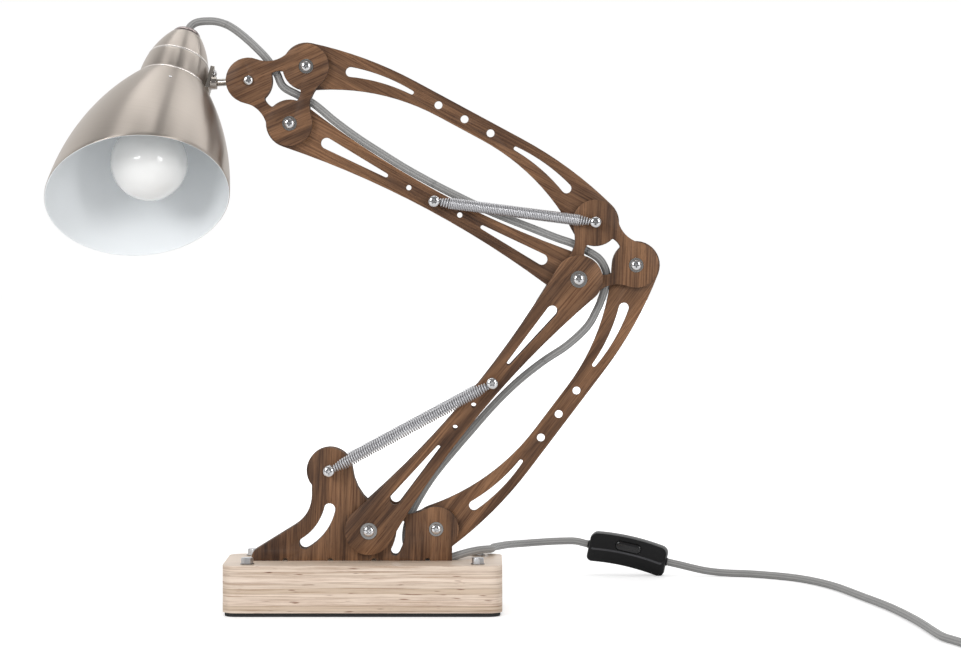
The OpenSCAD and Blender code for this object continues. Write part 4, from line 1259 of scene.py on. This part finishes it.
def cap_out(height):
    """The cap's outer radius at a height above the shade, in millimetres."""
    return CAP_RADIUS - CAP_CURVE + math.sqrt(CAP_CURVE ** 2 - height ** 2)


def rim_depth(turn):
    """Depth of the slanting rim in one direction round the shade."""
    depth = RIM_DEPTH
    for _ in range(12):
        depth = RIM_DEPTH + math.tan(RIM_SLANT) * shade_out(depth) * math.cos(turn - RIM_SIDE)
    return depth


def shade_shell():
    """The spun shade: a brushed outside, a rolled edge and a white enamelled inside."""
    sides, steps, edge_steps = 160, 30, 8
    rows = [("out", j / steps, 0.0, 0) for j in range(steps + 1)]
    rows += [("bead", 1.0, math.pi * j / edge_steps, 0 if j < 3 else 1)
             for j in range(1, edge_steps)]
    rows += [("in", j / steps, 0.0, 1) for j in range(steps, -1, -1)]
    points, runs = [], []
    for kind, share, bend, _ in rows:
        for k in range(sides):
            turn = SHADE_SEAM + math.tau * k / sides
            limit = rim_depth(turn) - SHEET / 2
            start = 0.0 if kind == "out" else SHEET
            depth = start + (limit - start) * share
            radius = shade_out(depth)
            if kind == "in":
                radius -= SHEET
            if kind == "bead":
                radius -= SHEET / 2 * (1 - math.cos(bend))
                depth += SHEET / 2 * math.sin(bend)
            points.append((radius * math.cos(turn) * MM, radius * math.sin(turn) * MM,
                           -depth * MM))
            runs.append(depth * MM)
    faces = quads(len(rows), sides, closed=True)
    uvs, which = [], []
    for number, face in enumerate(faces):
        row, k = divmod(number, sides)
        turns = (k / sides, (k + 1) / sides, (k + 1) / sides, k / sides)
        uvs.append([(turn, runs[point]) for turn, point in zip(turns, face)])
        which.append(rows[row][-1])
    made = build("spun_shade", points, faces, [brushed_nickel(), enamel()], which, uvs)
    made.data.transform(SHADE_FRAME)
    return crisp(outward(made), 60)


def to_metres(profile):
    return [(radius * MM, height * MM) for radius, height in profile]


def cap_profile():
    """The cap's two drawn cups, and which rings are the buffed lip and bead, painted lighter as a highlight."""
    outer = [(cap_out(0) + 0.5, 0), (cap_out(0) + 0.5, 0.7), (cap_out(1) + 0.2, 1.2),
             (cap_out(1.6), 1.6)]
    outer += [(cap_out(s), s) for s in np.linspace(2.8, CAP_SEAM - 1.0, 10)]
    seam, top = cap_out(CAP_SEAM), cap_out(CAP_LENGTH)
    outer += [(seam + 0.05, CAP_SEAM - 0.6), (seam + 0.25, CAP_SEAM - 0.4),
              (seam + 0.25, CAP_SEAM), (seam + 0.1, CAP_SEAM + 0.5),
              (seam - 0.2, CAP_SEAM + 1.0)]
    outer += [(cap_out(s), s) for s in np.linspace(CAP_SEAM + 1.6, CAP_LENGTH - 1.2, 12)]
    outer += [(top - 0.5, CAP_LENGTH - 0.3), (top - 1.2, CAP_LENGTH)]
    inner = [(CORD_HOLE, CAP_LENGTH), (CORD_HOLE, CAP_LENGTH - SHEET),
             (top - 2 * SHEET, CAP_LENGTH - SHEET)]
    inner += [(cap_out(s) - SHEET, s) for s in np.linspace(CAP_LENGTH - 3, 0, 12)]
    whole = outer + inner + outer[:1]
    # Rings that take the lighter nickel: a painted highlight on the lip and the seam bead
    polish_and_highlight_rings = [1 if i < 3 or 14 <= i < 18 else 0 for i in range(len(whole) - 1)]
    return to_metres(whole), polish_and_highlight_rings


def turned(name, profile, finish, node, slot, sides, sharp):
    """A piece turned about the shade's axis from (radius, height) pairs in millimetres."""
    made = lathe(name, to_metres(profile), [finish], sides, move=SHADE_FRAME)
    stand_for(crisp(made, sharp), node, slot=slot)


def cord_dome():
    """The dome on the cap, in a darker and browner nickel than the shade, where the cord comes out."""
    edge, top = cap_out(CAP_LENGTH) - 1, CAP_LENGTH
    turned("cord_dome", [
        (CORD_HOLE, top), (edge, top), (edge, top + 1.0), (edge - 0.4, top + 2.4),
        (edge - 1.5, top + 3.8), (edge - 3.4, top + 4.9), (edge - 5.8, top + 5.4),
        (CORD_HOLE + 0.5, top + 5.5), (CORD_HOLE, top + 5.2), (CORD_HOLE, top)],
        metal("darker_brownish_nickel", (0.33, 0.28, 0.27), 0.24), "cap_ferrule", "ferrule", 64, 40)


def shade_rivet():
    """A small rivet near the top of the shade's front."""
    rivet = lathe("shade_rivet", to_metres([
        (0, 0), (1.3, 0), (1.2, 0.2), (0.8, 0.4), (0, 0.5)]), [chrome()], 24)
    way = Vector((math.cos(RIVET_TURN), math.sin(RIVET_TURN), 0))
    spot = (way * shade_out(RIVET_DEPTH) - Vector((0, 0, RIVET_DEPTH))) * MM
    slope = math.asin((SHADE_WIDEST - RIVET_DEPTH) / SHADE_CURVE)
    out = way * math.cos(slope) + Vector((0, 0, math.sin(slope)))
    rivet.data.transform(SHADE_FRAME @ Matrix.Translation(spot)
                         @ out.to_track_quat("Z", "Y").to_matrix().to_4x4())
    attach(rivet, "shade")


def clamp_screw():
    """The clamping screw's pan head on the knuckle's strap."""
    head = pan_head()
    across = CLAMP_WIDE * MM
    face = cap_out(11) + 3.4
    head.data.transform(SHADE_FRAME @ Matrix.Translation(Vector((face, 0, CLAMP_HEIGHT)) * MM)
                        @ Matrix.Rotation(math.pi / 2, 4, "Y")
                        @ Matrix.Diagonal((across, across, across, 1)))
    stand_for(joined("clamp_screw", [head]), "knuckle_screw", slot="fasteners")


class LAMP_OT_shade(bpy.types.Operator):
    """Spin the shade, its cap, the cord's dome and the knuckle"""
    bl_idname = "lamp.shade"
    bl_label = "Shade"

    def execute(self, context):
        stand_for(shade_shell(), "shade_body", slot="shade_metal")
        outline, polish_and_highlight_rings = cap_profile()
        cap = lathe("drawn_cap", outline, [brushed_nickel(), polish_and_highlight_nickel()], 128,
                    which=polish_and_highlight_rings, move=SHADE_FRAME, seam=SHADE_SEAM)
        stand_for(crisp(cap, 34), "shade_cap", slot="shade_metal")
        cord_dome()
        shade_rivet()
        softened("clamp_knuckle", "shade_knuckle", "fittings", 0.5 * MM,
                 [metal("cast_nickel", (0.44, 0.40, 0.36), 0.22)], segments=3)
        softened("stem_rod", "lamp_stem", "fasteners", 0.3 * MM,
                 [metal("stem_steel", (0.46, 0.43, 0.39), 0.26)])
        clamp_screw()
        return {"FINISHED"}


def opal_globe():
    """The globe and its neck."""
    outline = [(0, -BULB_DROP - BULB_RADIUS)]
    outline += [(BULB_RADIUS * math.cos(math.radians(a)),
                 -BULB_DROP + BULB_RADIUS * math.sin(math.radians(a)))
                for a in range(-84, 39, 6)]
    outline += [(19.6, -47.6), (17.2, -44.8), (15.6, -42), (14.6, -39.5), (14.1, -37.5),
                (14.0, BULB_SEAT), (0, BULB_SEAT)]
    turned("opal_globe", outline, opal_glass(), "bulb_glass", "bulb_glass", 96, 60)


def porcelain_holder():
    """The lamp holder, with one groove round it and a shoulder for the cap."""
    low, high, wide = -34, 24, HOLDER_RADIUS
    turned("porcelain_holder", [
        (0, -6), (14, -6), (14, low + 0.5), (14.5, low), (wide - 0.6, low),
        (wide, low + 0.6), (wide, -22), (wide - 0.5, -21.6), (wide - 0.5, -20.8),
        (wide, -20.4), (wide, 3.6), (wide - 0.6, 4), (15.4, 11.6), (15, 12),
        (13.2, high - 0.6), (12.6, high), (CORD_HOLE, high), (CORD_HOLE, 5), (0, 5)],
        enamel("porcelain", (0.78, 0.76, 0.72)), "lamp_holder", "holder", 72, 34)


def bulb_thread():
    """The bulb's screw base: six ridges, then a narrow contact."""
    outline = [(0, BULB_SEAT), (13.2, BULB_SEAT)]
    for i in range(6):
        outline += [(13.4, -34.5 + THREAD_STEP * i), (12.4, -33 + THREAD_STEP * i)]
    outline += [(12.8, -16.2), (6, -12), (5, -10.2), (0, -10)]
    turned("bulb_thread", outline, metal("bulb_shell", (0.72, 0.72, 0.71), 0.24),
           "bulb_base", "bulb_cap", 48, 50)


class LAMP_OT_bulb(bpy.types.Operator):
    """Make the lamp holder, the opal globe and its cap"""
    bl_idname = "lamp.bulb"
    bl_label = "Bulb"

    def execute(self, context):
        opal_globe()
        porcelain_holder()
        bulb_thread()
        return {"FINISHED"}


# ---------------------------------------------------------------- switch and plug

SWITCH_HALF = 33
SWITCH_HIGH = 25.0
SWITCH_BOW = 2.0
BOW_REACH = 28
CORNER_STEPS = 8
EDGE_STEPS = 12
ROCKER_HALF = 7
ROCKER_RADIUS = 3.75
ROCKER_MIDDLE = 18.5
ROCKER_TILT = 0.45 / 11
WELL_RADIUS = 4.2
CREASE_Y = (-7.52 * MM, -7.3 * MM)
CREASE_TOP = 14.5 * MM
CREASE_END = 30 * MM
COLLAR_PLACES = (30, 33, 34.2)
COLLAR_RADII = (3.6 * MM, 3.6 * MM, 3.3 * MM)


def rounded_bow(shrink, drop):
    """The switch's bowed outline in millimetres: shrink moves it in, drop lifts its foot."""
    corner = 5.0 - shrink * 0.6
    right = SWITCH_HALF - shrink - corner
    low, top = drop + shrink, SWITCH_HIGH - shrink
    outline = []
    for x, y, start in ((right, top - corner, 0), (-right, top - corner, 90),
                        (-right, low + corner, 180), (right, low + corner, 270)):
        for step in range(CORNER_STEPS + 1):
            a = math.radians(start + 90 / CORNER_STEPS * step)
            outline.append((x + corner * math.cos(a), y + corner * math.sin(a)))
        if start in (0, 180):
            edge = top if start == 0 else low
            outline += [(x - 2 * x * s / EDGE_STEPS, edge) for s in range(1, EDGE_STEPS)]
    return [(x, z + SWITCH_BOW * (1 - (x / BOW_REACH) ** 2)) for x, z in outline]


def oval(radius):
    """Two half circles joined, round the rocker's middle, in millimetres."""
    outline = []
    for step in range(32):
        a = math.tau * (step + 0.5) / 32 - math.pi / 2
        side = ROCKER_HALF if step < 16 else -ROCKER_HALF
        outline.append((side + radius * math.cos(a), ROCKER_MIDDLE + radius * math.sin(a)))
    return outline


def lofted(name, rings, finishes):
    """A closed shell in the switch's own frame through rings of (y, outline)."""
    sides = len(rings[0][1])
    points = [Vector((x, y, z)) * MM for y, outline in rings for x, z in outline]
    faces = quads(len(rings), sides)
    faces += [list(range(sides)), list(range(len(points) - sides, len(points)))]
    made = build(name, points, faces, finishes)
    made.data.transform(AT_SWITCH)
    return crisp(outward(made), 30)


def rocker_button():
    """The rocker, its top pressed down a little at one end."""
    gloss = plastic("rocker_gloss", (0.014, 0.014, 0.015), 0.10, 0.000005)
    made = lofted("switch_button", [(y, oval(ROCKER_RADIUS - push)) for y, push in (
        (-4.6, 0), (-7.4, 0), (-8.0, 0.25), (-8.3, 0.8), (-8.4, 1.9))], [gloss])
    to_switch = AT_SWITCH.inverted()
    for vertex in made.data.vertices:
        spot = to_switch @ vertex.co
        if spot.y < -6 * MM:
            spot.y -= ROCKER_TILT * spot.x
            vertex.co = AT_SWITCH @ spot
    stand_for(crisp(outward(made), 30), "switch_rocker", slot="switch_black")


def front_shell(shell):
    """The switch's front: bevelled low down, with a crease in lighter plastic as a painted highlight, and the
    rocker's well.
    """
    # A lighter black used only on the crease, as a painted highlight along it
    wear_and_painted_highlight = plastic("switch_crease_painted_highlight", (0.06, 0.06, 0.065), 0.22, 0.00001)
    cover = lofted("switch_front", [(y, rounded_bow(shrink, drop)) for y, shrink, drop in (
        (-0.15, 0.9, 0), (-0.5, 0.25, 0), (-1.2, 0, 0), (-3.4, 0, 0), (-3.8, 0.1, 0.3),
        (-6.9, 0.5, 8.9), (-7.5, 0.7, 9.6), (-7.5, 0.9, 9.9), (-7.2, 1.3, 10.5),
        (-7.15, 1.6, 10.7))], [shell, wear_and_painted_highlight])
    to_switch = AT_SWITCH.inverted()
    # The faces along the crease take the lighter plastic: a painted highlight
    for polygon in cover.data.polygons:
        spot = to_switch @ polygon.center
        if (CREASE_Y[0] < spot.y < CREASE_Y[1] and spot.z < CREASE_TOP
                and abs(spot.x) < CREASE_END):
            polygon.material_index = 1
    well = lofted("rocker_well", [(y, oval(WELL_RADIUS)) for y in (-9.5, -3.4)], [shell])
    stand_for(crisp(carved(cover, [well]), 30), "switch_cover", slot="switch_black")


def rear_shell(shell):
    """The switch's back, with a short collar round the cord at each end."""
    back = lofted("switch_back", [(y, rounded_bow(shrink, 0)) for y, shrink in (
        (0.15, 0.9), (0.5, 0.25), (1.2, 0), (5.6, 0), (6.8, 0.5), (7.5, 1.8))], [shell])
    collars = [swept(f"collar_{end}", [switch_point(end * along) for along in COLLAR_PLACES],
                     COLLAR_RADII, shell, 24) for end in (-1, 1)]
    stand_for(joined("switch_rear", [back] + collars), "switch_base", slot="switch_black")


class LAMP_OT_switch(bpy.types.Operator):
    """Mould the inline switch, its rocker and the cord's collars"""
    bl_idname = "lamp.switch"
    bl_label = "Inline switch"

    def execute(self, context):
        shell = plastic("switch_shell", colours().black[:], 0.30, 0.00003, 0.3)
        front_shell(shell)
        rear_shell(shell)
        rocker_button()
        return {"FINISHED"}


class LAMP_OT_plug(bpy.types.Operator):
    """Mould the plug and its pins, and finish the spacers that stay as packed"""
    bl_idname = "lamp.plug"
    bl_label = "Plug and small parts"

    def execute(self, context):
        softened("plug_moulding", "plug_body", "plug_white", 2.2 * MM, [plug_white()], segments=5)
        softened("plug_contacts", "plug_pins", "fasteners", 0.8 * MM, [chrome()], segments=3)
        for node in ("foot_spacers", "elbow_washers", "head_washers"):
            mesh = frame["nodes"][node].data
            mesh.materials.clear()
            mesh.materials.append(washer_steel())
        return {"FINISHED"}


# ---------------------------------------------------------------- stage and camera

EYE_PLACE = (0.089, -2.386, 0.2995)
EYE_TURN = (math.radians(88), 0, 0)
LENS = 117.25
FLOOR_HALF = 9
LAMP_AIM = Vector((0.02, 0, 0.22))
# Name, place, size and power of each lamp
LAMPS = (("Key", (-1.45, -2.1, 1.25), (0.9, 1.1), 27),
         ("Fill", (1.45, -2.0, 0.9), (0.6, 1.1), 15),
         ("Left strip", (-0.22, 0.3, 2.2), (0.28, 1.6), 4.2),
         ("Right strip", (1.35, 0.8, 2.2), (0.24, 2.0), 8))


def stand_camera():
    """The camera, a little above the elbow and looking slightly down."""
    data = bpy.data.cameras.new("Camera")
    data.lens = LENS
    data.sensor_width = 36
    data.clip_end = 60
    eye = link("Camera", data)
    eye.location = EYE_PLACE
    eye.rotation_euler = EYE_TURN
    bpy.context.scene.camera = eye


def studio_world(world):
    """White behind the lamp for the camera, and a dim front half of the room in mirrors."""
    world.use_nodes = True
    tree = world.node_tree
    tree.nodes.clear()
    rays = add(tree, "ShaderNodeLightPath").outputs
    way = add(tree, "ShaderNodeTexCoord").outputs["Generated"]
    back = calc(tree, "MULTIPLY_ADD",
                add(tree, "ShaderNodeSeparateXYZ", {"Vector": way}).outputs["Y"], 0.5, 0.5)
    room = ramp(tree, back, [(0.10, 0.22), (0.50, 0.40), (0.70, 1)])
    soft = mixed(tree, rays["Is Glossy Ray"], (0.58, 0.58, 0.58), room)
    seen = mixed(tree, rays["Is Camera Ray"], soft, (1, 1, 1))
    sky = add(tree, "ShaderNodeBackground", {"Color": seen, "Strength": 1.01})
    tree.links.new(sky.outputs[0], add(tree, "ShaderNodeOutputWorld").inputs[0])


def hang_lamp(name, place, size, power):
    """A soft rectangular lamp that looks at the middle of the arms."""
    lamp = bpy.data.lights.new(name, "AREA")
    lamp.shape = "RECTANGLE"
    lamp.size, lamp.size_y = size
    lamp.energy = power
    made = link(name, lamp)
    made.location = place
    made.rotation_euler = (LAMP_AIM - made.location).to_track_quat("-Z", "Y").to_euler()


class LAMP_OT_stage(bpy.types.Operator):
    """Set the camera, the pale floor and the soft studio lamps"""
    bl_idname = "lamp.stage"
    bl_label = "Stage"

    def execute(self, context):
        stand_camera()
        half = FLOOR_HALF
        floor = build("floor", [(-half, -half, 0), (half, -half, 0), (half, half, 0),
                                (-half, half, 0)], [[0, 1, 2, 3]], [pale_floor()], smooth=False)
        context.scene.world = bpy.data.worlds.new("Studio")
        studio_world(context.scene.world)
        for lamp in LAMPS:
            hang_lamp(*lamp)
        context.scene.view_settings.view_transform = "Standard"
        return {"FINISHED"}


def pale_floor():
    """A pale table top that turns white for the camera but keeps the lamp's shadow."""
    def paint(tree, surface):
        fill(surface, Roughness=0.5,
             Base_Color=mixed(tree, grain(tree, 1.5), (0.80,) * 3, (0.82,) * 3))
        fill(surface, Emission_Color=(1, 1, 1))
        seen = add(tree, "ShaderNodeLightPath").outputs["Is Camera Ray"]
        away = add(tree, "ShaderNodeVectorMath", {
            0: add(tree, "ShaderNodeTexCoord").outputs["Object"]}, operation="LENGTH")
        glow = add(tree, "ShaderNodeMapRange", {
            "Value": away.outputs["Value"], "From Min": 0.5, "From Max": 1.8,
            "To Min": 0.42, "To Max": 1.0})
        put(surface.inputs["Emission Strength"],
            calc(tree, "MULTIPLY", seen, glow.outputs[0]))
    return material("pale_floor", paint)


class LAMP_PT_panel(bpy.types.Panel):
    """Lists the lamp's pieces"""
    bl_label = "Desk Lamp"
    bl_idname = "LAMP_PT_panel"
    bl_space_type = "VIEW_3D"
    bl_region_type = "UI"
    bl_category = "Desk Lamp"

    def draw(self, context):
        for piece in PIECES:
            self.layout.operator(piece.bl_idname)
        for settings in (sizes(), colours()):
            for key in settings.bl_rna.properties.keys():
                if key not in ("rna_type", "name"):
                    self.layout.prop(settings, key)


PIECES = (LAMP_OT_stage, LAMP_OT_wood, LAMP_OT_base, LAMP_OT_screws, LAMP_OT_springs,
          LAMP_OT_shade, LAMP_OT_bulb, LAMP_OT_switch, LAMP_OT_plug, LAMP_OT_cords)
CLASSES = (LampSizes, LampColours) + PIECES + (LAMP_PT_panel,)


def register():
    for made in CLASSES:
        bpy.utils.register_class(made)
    bpy.types.Scene.lamp_sizes = bpy.props.PointerProperty(type=LampSizes)
    bpy.types.Scene.lamp_colours = bpy.props.PointerProperty(type=LampColours)


def unregister():
    del bpy.types.Scene.lamp_colours
    del bpy.types.Scene.lamp_sizes
    for made in reversed(CLASSES):
        bpy.utils.unregister_class(made)


def main():
    register()
    for piece in PIECES:
        area, name = piece.bl_idname.split(".")
        getattr(getattr(bpy.ops, area), name)()


if __name__ == "__main__":
    main()
